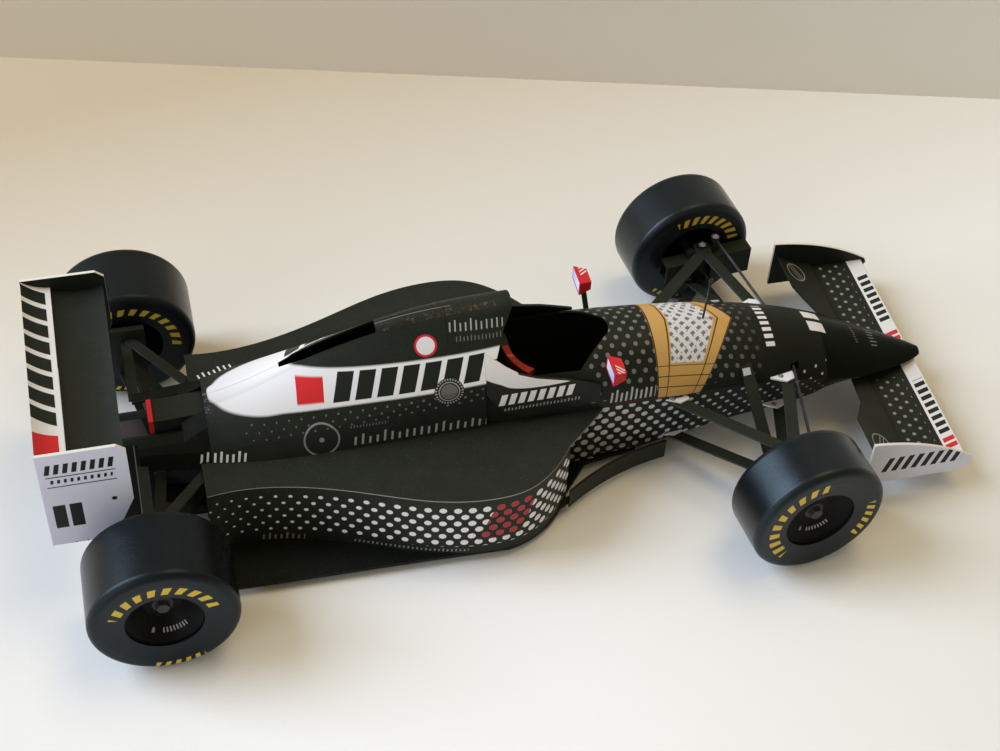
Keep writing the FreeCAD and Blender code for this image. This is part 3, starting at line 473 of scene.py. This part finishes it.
def cockpit_side_finish():
    """The white band's end on the raised cockpit side, over two rows of bars."""
    finish = card("cockpit_side_print")
    x, z = finish.x, finish.z
    out = finish.outward()
    edge = finish.curve(x, [(65.0, 29.1), (67.7, 27.8), (71.0, 26.5), (75.7, 26.1), (82.0, 26.3)])
    # the band's end and the tall bars take the raised white: painted light
    finish.paint(finish.above(z, edge) * out, WHITE_WITH_PAINTED_LIGHT)
    finish.paint(finish.above(finish.facing("Z"), 0.9), INK)
    tall = finish.bars(x, z, 67.2, 82.0, 23.1, 25.5, 1.9, 0.68, 0.3)
    finish.paint(tall * out, WHITE_WITH_PAINTED_LIGHT)
    small = finish.bars(x, z, 68.4, 83.4, 21.6, 22.4, 0.7, 0.45, 0.1, 0.3)
    finish.paint(small * out, SILVER)
    return close_card(finish)


def tail_finish():
    """Dark tail fairing, where the cover's last row of bars runs out."""
    finish = card("tail_print", ink=shade(INK, 0.6))
    bars = finish.bars(finish.x, finish.z, 10.3, 12.5, 17.8, 19.9, 1.1, 0.45, 0.2, 0.35)
    finish.paint(bars * finish.outward(), WHITE)
    return close_card(finish, Specular_IOR_Level=DULL_SHINE)


def low_dots(finish, size):
    """White dots in rows that climb forwards along the tub's low sides."""
    x, z = finish.x, finish.z
    return finish.dots(x + z * 0.055 - 110.45, z - x * 0.048 - 12.74, 2.71, 1.85, size)


def paint_nose_blocks(finish, top):
    """Two white blocks across the joint of tub and nose."""
    blocks = finish.bars(finish.y, finish.x, -2.0, 5.0, 134.3, 138.0, 3.7, 0.72, 0.0)
    finish.paint(blocks * top, WHITE)


def paint_gilt_band(finish, around, out):
    """Gilt band across the tub, with a silver lattice between narrow gold bands."""
    x = finish.x
    front = 117.6 - around * 0.62
    share = (x - GILT_BACK_X) / (front - GILT_BACK_X)
    inside = finish.within(share, 0.0, 1.0, 0.01) * finish.above(finish.z, 17.9) * out
    finish.paint(inside, GOLD)
    lattice_a = finish.stripes(share * 7.0 + around * 0.42, 1.0, 0.56)
    lattice_b = finish.stripes(share * 7.0 - around * 0.42 + 40.0, 1.0, 0.56)
    middle = inside * finish.within(share, 0.24, 0.78, 0.01) * finish.below(around, 9.2)
    finish.paint(middle, shade(WHITE, 0.85))
    finish.paint(middle * lattice_a * lattice_b, shade(SILVER, 0.45))
    studs = finish.dots(x, around, 2.1, 1.05, 0.16) * middle
    finish.paint(studs, shade(GOLD, 0.6))
    line = shade(GOLD, 0.08)
    for edge in (0.0, 0.2, 0.82, 0.985):
        finish.paint(inside * finish.within(share, edge, edge + 0.018, 0.004), line)
    weave = finish.stripes(around, 1.9, 0.12) * finish.above(around, 9.6)
    finish.paint(inside * weave, line)


def tub_finish():
    """Grey dots round the cockpit, white dots low down, and a gilt band across."""
    finish = card("tub_print")
    x, y, z = finish.x, finish.y, finish.z
    out = finish.outward()
    crown = finish.curve(x, [(71.0, 29.7), (97.0, 28.9), (112.0, 27.0), (124.0, 24.5),
                             (136.5, 20.5)])
    # around grows from the crown line down both sides
    around = finish.length(abs(y), z - crown)
    finish.paint(finish.ramp(x, 112.0, 130.0, 0.0, 0.85), shade(INK, 0.5))
    glint = finish.above(finish.noise(0.9, 3.0, 0.7), 0.64, 0.1)
    finish.paint((1.0 - out) * glint * 0.12, shade(GOLD, 0.5))
    dots = finish.dots(x, around, 2.4, 1.68, 0.45) * finish.within(x, 86.0, 122.0)
    fading = finish.ramp(x, 112.0, 123.0, 1.0, 0.2)
    finish.paint(dots * finish.above(z, 19.5) * fading * out, GREY_DOT)
    size = finish.curve(x, [(88.0, 0.78), (100.0, 0.62), (113.0, 0.47), (136.0, 0.24)])
    finish.paint(low_dots(finish, size) * finish.below(z, 17.6) * out, shade(WHITE, 0.75))
    # a row of pale bars on plain ink, with a dark red row under it
    finish.paint(finish.box(x, z, 89.4, 99.4, 18.5, 22.0) * out, INK)
    bars = finish.bars(x, z, 89.8, 99.0, 18.8, 21.8, 1.0, 0.46, 0.1, 0.35)
    finish.paint(bars * out, shade(WHITE, 0.62))
    under = finish.bars(x, z, 91.6, 96.6, 18.1, 18.6, 0.5, 0.5, 0.1, 0.3)
    finish.paint(under * out, shade(RED, 0.35))
    paint_gilt_band(finish, around, out)
    top = finish.above(z, 15.0) * out
    across = finish.bars(y, x, -6.2, 4.6, 123.3, 125.3, 1.5, 0.6, 0.1)
    finish.paint(across * top, WHITE)
    paint_nose_blocks(finish, top)
    return close_card(finish, Specular_IOR_Level=0.14)


def nose_finish():
    """Deep black and smooth, with the last white dots low on its sides."""
    finish = card("nose_print", ink=shade(INK, 0.4), specks=0.12)
    x, y, z = finish.x, finish.y, finish.z
    top = finish.above(z, 11.0)
    paint_nose_blocks(finish, top)
    for back, ahead, pitch in ((145.1, 145.7, 0.6), (148.9, 150.7, 0.9)):
        row = finish.bars(y, x, -2.4, 2.4, back, ahead, pitch, 0.4, 0.1, 0.3)
        finish.paint(row * top, GREY_DOT)
    low = low_dots(finish, finish.ramp(x, 136.0, 150.0, 0.24, 0.08))
    low = low * finish.below(z + x * 0.25, 45.6) * finish.below(x, 150.0)
    finish.paint(low, shade(WHITE, 0.75))
    finish.paint(finish.within(x, 157.2, 157.4), shade(INK, 0.3))
    return close_card(finish, Roughness=finish.gloss - 0.16, Specular_IOR_Level=0.04)


def sidepod_finish():
    """Halftone wall: dots grow towards the front, and a patch of them is red."""
    finish = card("sidepod_print", specks=0.5)
    x, y, z = finish.x, finish.y, finish.z
    side = abs(y)
    # length along the wall, which turns in towards the tub ahead of the bend
    past = finish.math("MAXIMUM", x - BEND_X, 0.0)
    turned = finish.length(past, SIDEPOD_HALF_WIDTH - side)
    along = finish.math("MINIMUM", x, BEND_X) + turned * finish.above(x, BEND_X)
    wall = finish.above(side, 17.2) * finish.below(z, 17.3)
    size = finish.ramp(along, 14.0, 60.0, 0.24, 0.78)
    dots = finish.dots(along, z, 2.72, 1.9, size) * wall * finish.within(z, 4.4, 16.0)
    finish.paint(dots, shade(WHITE, 1.12))
    patch = finish.within(along - z * 0.35, 57.5, 66.0) * finish.above(z, 6.2)
    finish.paint(dots * patch, PATCH_RED)
    low = finish.bars(x, z, 37.0, 58.0, 3.0, 3.8, 0.8, 0.45, 0.1, 0.3)
    low = finish.either(low, finish.bars(x, z, 20.0, 28.0, 2.5, 4.4, 1.1, 0.4, 0.1, 0.4))
    finish.paint(low * wall, shade(SILVER, 0.7))
    # the tub's low dots run on over the wall's inner end
    inner = low_dots(finish, 0.74) * finish.below(side, 11.3) * finish.below(z, 17.4)
    finish.paint(inner * finish.above(x, 80.0) * finish.outward(), shade(WHITE, 0.75))
    # white ticks on the roof along the cover, and bare paper on the roof's cut edge
    roof = finish.above(finish.facing("Z"), 0.5)
    ticks = finish.bars(x, y - x * 0.307 - 7.46, 12.6, 20.0, 0.0, 1.5, 1.05, 0.4, -0.3, 0.4)
    finish.paint(ticks * roof, WHITE)
    edge = finish.above(z, DECK_MM - 0.22) * (1.0 - roof)
    finish.paint(edge * 0.5, PAPER)
    return close_card(finish)


def plain_card_finish():
    """Black card with no print, on every piece that has no finish of its own."""
    return close_card(card("black_card"))


def floor_board_finish():
    """Darker, smoother card of the floor under the car."""
    finish = card("floor_board_card", ink=shade(INK, 0.5))
    return close_card(finish, Specular_IOR_Level=0.12)


def arm_finish():
    """Black strips of the suspension, with a painted bluish highlight on their thin edges."""
    finish = card("arm_card", specks=0.5)
    # painted highlight along the strips' thin edges
    edge_highlight = finish.below(abs(finish.facing("Z")), 0.35)
    finish.paint(edge_highlight * 0.6, (0.055, 0.065, 0.075))
    return close_card(finish)


def pushrod_finish():
    """Black strip with a white band near its upper end."""
    finish = card("pushrod_card", specks=0.5)
    finish.paint(finish.box(finish.x, finish.z, 117.3, 118.9, 20.4, 21.2), shade(WHITE, 0.6))
    return close_card(finish)


# ---------------------------------------------------------------- wings
def front_plane_finish():
    """Dotted black plane with a white strip and bars along its leading edge."""
    finish = card("front_plane_print")
    x, y = finish.x, finish.y
    top = finish.above(finish.facing("Z"), 0.3)
    panel = finish.box(x, abs(y), 148.9, 155.3, 6.2, 28.6) * top
    dots = finish.dots(y, x - 150.0, 2.42, 1.83, 0.38)
    finish.paint(dots * panel, shade(GREY_DOT, 1.5))
    finish.paint(finish.above(x, 156.4), WHITE)
    for start, end in ((9.5, 24.0), (-23.0, -8.0)):
        bars = finish.bars(y, x, start, end, 157.0, 159.5, 1.85, 0.62, 0.3)
        finish.paint(bars, INK)
    for start, end in ((3.4, 6.7), (-27.0, -23.7)):
        patch = finish.bars(y, x, start, end, 156.9, 159.6, 1.65, 0.7, 0.3)
        finish.paint(patch, RED)
    return close_card(finish)


def front_flap_finish():
    """Black flap with a thin oval crossed by two rules at its outer end."""
    finish = card("front_flap_print")
    along, across = finish.x - 142.9, abs(finish.y) - 25.1
    oval = finish.length(along * 1.35, across)
    mark = finish.within(oval, 2.45, 2.75)
    for shift in (-0.5, 0.5):
        rule = finish.within(along * 1.2 + across * 0.5 + shift, -0.12, 0.12)
        mark = finish.either(mark, rule * finish.below(oval, 2.5))
    finish.paint(mark, shade(SILVER, 0.8))
    return close_card(finish)


def pale_plate_finish(name, marks):
    """Pale grey plate outside, black inside, with white cut edges."""
    finish = card(name, ink=LILAC, spread=0.06, specks=0.0)
    facing_out = finish.facing_out()
    finish.paint(marks(finish), INK)
    finish.paint(finish.below(facing_out, -0.5), INK)
    finish.paint(finish.below(abs(facing_out), 0.5), PAPER)
    return close_card(finish)


def front_plate_marks(finish):
    """A row of slanted bars."""
    return finish.bars(finish.x, finish.z, 141.5, 158.4, 7.0, 11.0, 2.1, 0.58, 0.3)


def rear_plate_marks(finish):
    """Bars over two rules with small bars between, two blocks, a dot and a short row."""
    x, z = finish.x, finish.z
    marks = finish.bars(x, z, -16.8, -4.4, 35.0, 37.5, 1.55, 0.6, 0.2)
    others = [finish.box(x, z, -16.6, -4.6, low, low + 0.25) for low in (34.1, 31.5)]
    others.append(finish.bars(x, z, -16.0, -5.2, 32.5, 33.5, 1.15, 0.5, 0.1))
    others.append(finish.bars(x, z, -16.5, -11.0, 20.4, 26.6, 2.9, 0.78, 0.0))
    others.append(finish.disc(x, z, -5.6, 26.4, 0.5))
    others.append(finish.bars(x, z, -14.6, -11.0, 15.4, 16.0, 0.7, 0.5, 0.2, 0.5))
    for other in others:
        marks = finish.either(marks, other)
    return marks


def rear_flap_finish():
    """White with black bars right across it, and a red end."""
    finish = card("rear_flap_print", ink=WHITE, spread=0.05, specks=0.0)
    across, back = finish.y, finish.x * -1.0
    bars = finish.bars(across, back, -13.8, 21.4, 13.5, 18.2, 4.4, 0.74, 0.3)
    finish.paint(bars, INK)
    finish.paint(finish.box(across, back, -21.6, -16.0, 13.5, 18.2), RED)
    finish.paint(finish.below(finish.z, 36.8), INK)
    return close_card(finish)


# ---------------------------------------------------------------- small pieces
def white_tab_finish():
    """Bare white card of the folded tabs."""
    finish = card("white_tabs", ink=WHITE, spread=0.08, specks=0.0)
    return close_card(finish)


def lamp_finish():
    """Plain red card of the tail lamp."""
    finish = card("lamp_print", ink=RED, spread=0.12, specks=0.15)
    return close_card(finish)


def mirror_finish():
    """Red housing with a pale blue glass towards the rear and white flecks on top."""
    finish = card("mirror_print", ink=RED, spread=0.1, specks=0.1)
    side = abs(finish.y)
    glass = finish.below(finish.facing("X"), -0.6)
    finish.paint(glass, (0.62, 0.03, 0.16))
    pane = finish.box(side, finish.z, 10.5, 14.9, 28.5, 30.9)
    sky = finish.ramp(side, 11.0, 15.4)
    finish.paint(glass * pane, finish.mix(sky, (0.80, 0.80, 0.84), (0.30, 0.48, 0.80)))
    flecks = finish.bars(side, finish.x, 12.4, 14.6, 89.4, 91.0, 0.9, 0.5, 0.8)
    finish.paint(flecks * finish.above(finish.facing("Z"), 0.3), WHITE)
    return close_card(finish)


def belt_finish():
    """Red webbing with an orange line down its middle."""
    finish = card("belt_print", ink=(0.36, 0.025, 0.012), spread=0.35, specks=0.4)
    finish.paint(finish.within(abs(finish.y), 2.0, 2.7) * 0.7, (0.60, 0.15, 0.02))
    return close_card(finish)


def wire_finish():
    """Black painted wire, worn grey in places."""
    finish = Finish("black_wire")
    worn = finish.above(finish.noise(1.1, 3.0, 0.7), 0.62, 0.1)
    finish.colour = finish.mix(worn, (0.008, 0.008, 0.009), (0.07, 0.07, 0.075))
    return finish.done(Roughness=0.34, Metallic=0.0, IOR=1.5)


# ---------------------------------------------------------------- wheels
def wheel_place(joint_name):
    """Centre of a wheel in metres, and how far it is steered at rest."""
    joint = JOINTS[joint_name]
    axis = Vector(joint["axis"])
    return Vector(joint["pos_m"]), math.atan2(-axis.x, axis.y)


def sidewall_dashes(finish, reach, angle, arc):
    """One arc of slanted dashes round the wheel's axis."""
    middle, spread, count, inner, outer = arc
    spread = math.radians(spread)
    offset = finish.math("WRAP", angle - math.radians(middle), math.pi, -math.pi)
    leaning = offset + spread + (reach - inner) * 0.03
    dash = finish.stripes(leaning, 2.0 * spread / count, 0.55, 0.006)
    return finish.within(offset, -spread, spread, 0.01) * dash * finish.within(reach, inner, outer)


def tyre_finish(name, joint_name, hand, shape, marks):
    """Satin black with arcs of yellow dashes on both sidewalls."""
    centre, turn = wheel_place(joint_name)
    # the tyre's black is tinted blue as a painted sheen
    finish = card(name, ink=TYRE_INK_WITH_SHEEN, specks=0.12, origin=centre, turn=turn)
    half_width = shape["half_width"]
    reach = finish.length(finish.x, finish.z)
    angle = finish.math("ARCTAN2", finish.z, finish.x)
    for face, arcs in ((hand, marks["outer"]), (-hand, marks["inner"])):
        sidewall = finish.above(finish.y * face, half_width - 0.9)
        for arc in arcs:
            finish.paint(sidewall_dashes(finish, reach, angle, arc) * sidewall, YELLOW)
    grain = finish.noise(4.5, 3.0, 0.6)
    finish.bump(grain * 0.55 + finish.noise(0.12, 1.0) * 1.6, BUMP_DEPTH, 0.6)
    # the tread is smoother than the sidewalls
    worn = finish.ramp(abs(finish.y), half_width - 1.8, half_width - 0.5, 0.14, 0.34)
    finish.gloss = grain * GRAIN_ROUGHNESS + worn
    # the blue specular tint paints the window's cool colour into the highlights
    return close_card(finish, Specular_IOR_Level=shape["shine"], Specular_Tint=PAINTED_SHEEN_TINT)


def rim_finish(name, joint_name, hand, shape):
    """Deep black dish with a few pale ticks low on its wall and a grey hub."""
    centre, turn = wheel_place(joint_name)
    finish = card(name, ink=RIM_INK, specks=0.2, origin=centre, turn=turn)
    reach = finish.length(finish.x, finish.z)
    angle = finish.math("ARCTAN2", finish.z, finish.x)
    outside = finish.above(finish.y * hand, 1.0)
    low, high = [math.radians(degrees) for degrees in shape["ticks"]]
    ticks = finish.stripes(angle - low, (high - low) / 8.0, 0.5, 0.01)
    wall = finish.within(reach, shape["dish"], shape["dish"] + 0.65)
    finish.paint(ticks * finish.within(angle, low, high, 0.01) * wall * outside, SILVER)
    fleck = finish.within(angle, low - 0.38, low - 0.28, 0.01)
    finish.paint(fleck * wall * outside, shade(SILVER, 0.8))
    finish.paint(finish.below(reach, HUB_RADIUS) * outside, shade(SILVER, 0.18))
    return close_card(finish, Specular_IOR_Level=0.10)


# Each wheel's marks: middle and half spread in degrees, how many, inner and outer radius.
SIDEWALL_MARKS = {
    "rear": {"outer": [(89.0, 72.0, 9, 8.2, 10.2), (-81.0, 22.0, 5, 11.5, 12.9)],
             "inner": [(56.0, 62.0, 9, 8.8, 10.6), (-107.0, 16.0, 4, 11.2, 12.2)]},
    "front": {"outer": [(159.0, 68.0, 9, 8.6, 10.8), (-14.5, 25.0, 5, 9.7, 11.4)],
              "inner": [(65.0, 50.0, 8, 8.6, 10.8), (-118.0, 18.0, 4, 10.9, 11.9)]}}
# Each wheel's half width, specular level, the dish's inner radius, and the degrees between
# which its pale ticks stand.
WHEEL_SHAPES = {
    "rear": {"half_width": 7.65, "shine": 0.30, "dish": 4.9, "ticks": (-97.0, -42.0)},
    "front": {"half_width": 5.95, "shine": 0.44, "dish": 4.2, "ticks": (-107.0, -45.0)}}
HUB_RADIUS = 1.9


# ---------------------------------------------------------------- what each node wears
def dress_everything():
    """Plain card on every node first, then each printed one over it."""
    dress(plain_card_finish(), *frame["nodes"])
    dress(engine_cover_finish(), "engine_cover")
    dress(cockpit_side_finish(), "cockpit_side_left", "cockpit_side_right")
    dress(tail_finish(), "tail_fairing_left", "tail_fairing_right")
    dress(tub_finish(), "tub")
    dress(nose_finish(), "nose_cone")
    dress(sidepod_finish(), "sidepod_left", "sidepod_right")
    dress(front_plane_finish(), "front_main_plane")
    dress(front_flap_finish(), "front_flap_left", "front_flap_right")
    dress(pale_plate_finish("front_plate_print", front_plate_marks),
          "front_endplate_left", "front_endplate_right")
    dress(pale_plate_finish("rear_plate_print", rear_plate_marks),
          "rear_endplate_left", "rear_endplate_right")
    dress(rear_flap_finish(), "rear_flap")
    dress(white_tab_finish(), "arm_brackets")
    dress(mirror_finish(), "mirror_housings")
    dress(belt_finish(), "belt")
    dress(lamp_finish(), "rear_lamp")
    dress(wire_finish(), "tie_rods", "antenna")
    dress(floor_board_finish(), "floor")
    dress(arm_finish(), "front_upper_arms", "front_lower_arms", "rear_arms", "wing_struts",
          "driveshafts")
    dress(pushrod_finish(), "front_pushrods")
    for end, shape in WHEEL_SHAPES.items():
        for side, hand in SIDES:
            joint_name = f"{end}_{side}_spin"
            tyre = tyre_finish(f"{end}_{side}_tyre_print", joint_name, hand, shape,
                               SIDEWALL_MARKS[end])
            dress(tyre, f"{end}_tyre_{side}")
            rim = rim_finish(f"{end}_{side}_rim_print", joint_name, hand, shape)
            dress(rim, f"{end}_rim_{side}")


# ---------------------------------------------------------------- small added pieces
# Pins in the left side's tabs, as x, y and the height of the tab's top.
TAB_PINS = ((125.6, 10.3, 18.18), (126.0, 9.3, 8.68), (102.9, 11.2, 17.28), (102.9, 9.8, 5.68))
PIN_RADIUS, PIN_HEIGHT = 0.42, 0.34
# The left kingpin's x and y, the heights that the caps stand at, and the caps' own size.
KINGPIN = (FRONT_AXLE_MM + 1.2, 30.2)
KINGPIN_TOP, STUD_TOP = 17.62, 19.12
STUD_ARM = 2.9                   # from the kingpin ahead to the tie rod's stud
CAP_RADIUS, CAP_HEIGHT = 0.62, 0.5
DIFFUSER_FRONT, DIFFUSER_BACK = 1.75, -6.2
DIFFUSER_HALF_WIDTH = 13.4
FENCES = (-8.6, -3.0, 3.0, 8.6)  # each fence's y


def keep(bm, name, body, material):
    """Makes a bmesh an object of the car that rides on a body."""
    bmesh.ops.recalc_face_normals(bm, faces=bm.faces)
    mesh = bpy.data.meshes.new(name)
    bm.to_mesh(mesh)
    bm.free()
    mesh.materials.append(material)
    piece = bpy.data.objects.new(name, mesh)
    bpy.context.scene.collection.objects.link(piece)
    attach(piece, body)


def smooth(bm):
    """Gives every face of a bmesh smooth shading."""
    for face in bm.faces:
        face.smooth = True


def metal_finish():
    """Dull worn metal of the pin heads."""
    finish = Finish("pin_metal")
    worn = finish.noise(1.4, 3.0, 0.7)
    finish.colour = finish.mix(worn, (0.15, 0.15, 0.165), (0.34, 0.34, 0.365))
    return finish.done(Roughness=0.38, Metallic=0.55)


def pin(bm, point, radius, height):
    """Round pin head with a narrow flange, sunk into the card to its middle at the point."""
    place = around_axis(point, (0.0, 0.0, 1.0))
    stretch = Matrix.Diagonal((radius * MM, radius * MM, height * MM, 1.0))
    bmesh.ops.create_uvsphere(bm, u_segments=20, v_segments=12, radius=1.0, matrix=place @ stretch)
    reach = radius * 1.35 * MM
    flange = Matrix.Diagonal((reach, reach, 0.12 * MM, 1.0))
    bmesh.ops.create_uvsphere(bm, u_segments=20, v_segments=8, radius=1.0, matrix=place @ flange)


def tab_pins(material):
    """A pin through each paper tab of the front wishbones."""
    for side, hand in SIDES:
        bm = bmesh.new()
        for x, y, z in TAB_PINS:
            pin(bm, station(x, y * hand, z), PIN_RADIUS, PIN_HEIGHT)
        smooth(bm)
        keep(bm, f"tab_pins_{side}", "chassis", material)


def knuckle_pins(material):
    """Ball caps over each kingpin and over the tie rod's stud."""
    for side, hand in SIDES:
        turn = wheel_place(f"front_{side}_spin")[1]
        pivot = station(KINGPIN[0], KINGPIN[1] * hand, 0.0)
        stud = pivot + Vector((math.cos(turn), math.sin(turn), 0.0)) * STUD_ARM * MM
        bm = bmesh.new()
        for foot, top in ((pivot, KINGPIN_TOP), (stud, STUD_TOP)):
            pin(bm, foot + Vector((0.0, 0.0, top * MM)), CAP_RADIUS, CAP_HEIGHT)
        smooth(bm)
        keep(bm, f"knuckle_pins_{side}", JOINTS[f"{side}_steer"]["child"], material)


def tube_ring(bm, centre, axis, radius, thickness):
    """Closed ring of round wire."""
    rim = bmesh.ops.create_circle(bm, segments=10, radius=thickness * MM)["verts"]
    out = Matrix.Translation((radius * MM, 0.0, 0.0)) @ Matrix.Rotation(math.pi / 2.0, 4, "X")
    bmesh.ops.transform(bm, matrix=out, verts=rim)
    edges = list({edge for vert in rim for edge in vert.link_edges})
    bmesh.ops.spin(bm, geom=rim + edges, cent=(0.0, 0.0, 0.0), axis=(0.0, 0.0, 1.0),
                   angle=math.tau, steps=28, use_merge=True)
    bmesh.ops.remove_doubles(bm, verts=bm.verts, dist=0.001 * MM)
    bmesh.ops.transform(bm, matrix=around_axis(centre, axis), verts=bm.verts)


def aerial_loop(material):
    """Small bent loop at the top of the aerial."""
    bm = bmesh.new()
    tube_ring(bm, station(111.8, 0.0, 37.0), (0.55, -0.8, 0.1), 0.55, 0.13)
    smooth(bm)
    keep(bm, "aerial_loop", "chassis", material)


def slab(bm, corners, thickness):
    """Flat card from its outline, thickened downwards."""
    verts = [bm.verts.new(station(*corner)) for corner in corners]
    face = bm.faces.new(verts)
    made = bmesh.ops.extrude_face_region(bm, geom=[face])["geom"]
    lower = [item for item in made if isinstance(item, bmesh.types.BMVert)]
    face.normal_update()
    bmesh.ops.translate(bm, vec=face.normal * (-thickness * MM), verts=lower)


def diffuser_tail(material):
    """Tail of the diffuser behind its ramp, with the fences carried on under it."""
    front, back, side = DIFFUSER_FRONT, DIFFUSER_BACK, DIFFUSER_HALF_WIDTH
    bm = bmesh.new()
    left = [(front, 8.8), (1.2, side), (back, side)]
    right = [(x, -y) for x, y in reversed(left)]
    slab(bm, [(x, y, 7.2 + (front - x) * 0.09) for x, y in left + right], 0.5)
    for y in FENCES:
        inner = y - 0.2
        slab(bm, [(front, inner, 2.3), (-5.8, inner, 3.1), (-5.8, inner, 7.7),
                  (front, inner, 6.9)], 0.4)
    keep(bm, "diffuser_tail", "chassis", material)


def diffuser_finish():
    """Dark card with a pale crease across, and a painted patch of light, brown with a red cast
    from the tail lamp, on its left side.
    """
    finish = card("diffuser_tail_card", ink=shade(INK, 0.5))
    finish.paint(finish.within(finish.x, -1.7, -1.5) * 0.25, PAPER)
    # painted light: the window-lit left side, with red thrown from the tail lamp
    left = finish.above(finish.y, 5.6) * finish.above(finish.z, 7.0)
    finish.paint(left, (0.10, 0.078, 0.072))
    return close_card(finish)


def add_small_pieces():
    """Pins, ball caps, the aerial's loop and the diffuser's tail."""
    metal = metal_finish()
    tab_pins(metal)
    knuckle_pins(metal)
    aerial_loop(wire_finish())
    diffuser_tail(diffuser_finish())


# ---------------------------------------------------------------- floor, wall, light, camera
FLOOR_REACH = 2.5                # metres from the middle to each edge
WALL_HEIGHT = 0.3
WALL_ENDS = ((-1000.0, 396.0), (1200.0, -164.0))     # x and y on the car's own scale
# Lamps that look at the middle of the car: place and size in metres, watts and colour.
LAMPS = {
    "window": {"place": (-1.30, 0.42, 0.98), "size": (0.85, 1.50), "power": 37.0,
               "colour": (0.685, 0.806, 1.0)},
    "side_window": {"place": (-1.10, -0.75, 0.50), "size": (0.80, 0.80), "power": 5.0,
                    "colour": (0.70, 0.83, 1.0)},
    "room_lamp": {"place": (0.35, 0.15, 1.1), "size": (0.50, 0.50), "power": 3.4,
                  "colour": (1.0, 0.80, 0.46)}}
ROOM_COLOUR = (1.0, 0.82, 0.52, 1.0)
ROOM_STRENGTH = 0.31
CAMERA_PLACE = (4.605, -232.468, 276.409)
CAMERA_DEGREES = (74.18, 46.82, 3.366)     # heading from ahead to the left, dip and roll
CAMERA_LENS = 64.56


def sheet_of(name, corners, material):
    """A flat four-cornered sheet for the stage."""
    bm = bmesh.new()
    bm.faces.new([bm.verts.new(corner) for corner in corners])
    mesh = bpy.data.meshes.new(name)
    bm.to_mesh(mesh)
    bm.free()
    mesh.materials.append(material)
    sheet = bpy.data.objects.new(name, mesh)
    bpy.context.scene.collection.objects.link(sheet)
    return sheet


def floor_finish():
    """Paper painted palest by the car's right side and darker and browner far off to its left:
    painted fall-off of the light.
    """
    finish = Finish("floor_paper")
    # painted shading: darker away from the car's right side and browner far off, for the light's
    # fall-off
    far = finish.ramp(finish.y - finish.x * 0.2, 0.0, 125.0)
    around = finish.ramp(finish.length(finish.x - 50.0, finish.y + 70.0), 20.0, 120.0)
    cloud = finish.noise(0.01, 2.0)
    near = finish.mix(around, (0.89, 0.89, 0.89), (0.77, 0.755, 0.715))
    finish.colour = finish.mix(far, near, (0.50, 0.41, 0.28))
    finish.paint(cloud * 0.08, (0.80, 0.76, 0.68))
    finish.bump(finish.noise(1.5, 4.0), BUMP_DEPTH, 0.25)
    return finish.done(Roughness=0.85, Specular_IOR_Level=0.15)


def wall_finish():
    """Cream wall with painted shading that grows paler forwards, clear from the wall's back."""
    finish = Finish("wall_paint")
    # painted shading: darker and browner towards the wall's back end
    along = finish.ramp(finish.x, 0.0, 420.0)
    cloud = finish.noise(0.02, 3.0)
    finish.colour = finish.mix(along, (0.76, 0.68, 0.55), (0.89, 0.89, 0.86))
    finish.paint(cloud * 0.08, (0.80, 0.76, 0.66))
    finish.clear_behind()
    return finish.done(Roughness=0.9, Specular_IOR_Level=0.1)


def stage():
    """Paper floor under the wheels, and a wall beyond the car's left side."""
    low, reach = CAD_BOX[0][2], FLOOR_REACH
    corners = [(-reach, -reach), (reach, -reach), (reach, reach), (-reach, reach)]
    sheet_of("floor", [(x, y, low) for x, y in corners], floor_finish())
    left, right = [station(x, y, 0.0) for x, y in WALL_ENDS]
    up = Vector((0.0, 0.0, WALL_HEIGHT))
    base = Vector((0.0, 0.0, low))
    corners = [left + base, right + base, right + base + up, left + base + up]
    wall = sheet_of("wall", corners, wall_finish())
    wall.visible_shadow = False


def light_the_room():
    """Two cool windows behind the car, a warm lamp above it and a warm dim room."""
    for name, lamp in LAMPS.items():
        data = bpy.data.lights.new(name, "AREA")
        data.shape = "RECTANGLE"
        data.size, data.size_y = lamp["size"]
        data.energy = lamp["power"]
        data.color = lamp["colour"]
        light = bpy.data.objects.new(name, data)
        light.location = lamp["place"]
        light.rotation_euler = (-light.location).to_track_quat("-Z", "Y").to_euler()
        bpy.context.scene.collection.objects.link(light)
    world = bpy.data.worlds.new("room")
    world.use_nodes = True
    background = world.node_tree.nodes["Background"]
    background.inputs["Color"].default_value = ROOM_COLOUR
    background.inputs["Strength"].default_value = ROOM_STRENGTH
    bpy.context.scene.world = world


def place_camera():
    """Seen from the car's right side, a little behind it and from above."""
    heading, dip, roll = [math.radians(degrees) for degrees in CAMERA_DEGREES]
    ahead = Vector((math.cos(heading) * math.cos(dip), math.sin(heading) * math.cos(dip),
                    -math.sin(dip)))
    right = ahead.cross(Vector((0.0, 0.0, 1.0))).normalized()
    right = Matrix.Rotation(-roll, 3, ahead) @ right
    up = right.cross(ahead)
    data = bpy.data.cameras.new("camera")
    data.sensor_width = 36.0
    data.lens = CAMERA_LENS
    data.clip_start = 0.01
    camera = bpy.data.objects.new("camera", data)
    turned = Matrix((right, up, -ahead)).transposed().to_4x4()
    camera.matrix_world = Matrix.Translation(station(*CAMERA_PLACE)) @ turned
    bpy.context.scene.collection.objects.link(camera)
    bpy.context.scene.camera = camera


place_camera()
light_the_room()
stage()
dress_everything()
add_small_pieces()
bpy.context.scene.view_settings.view_transform = "Standard"
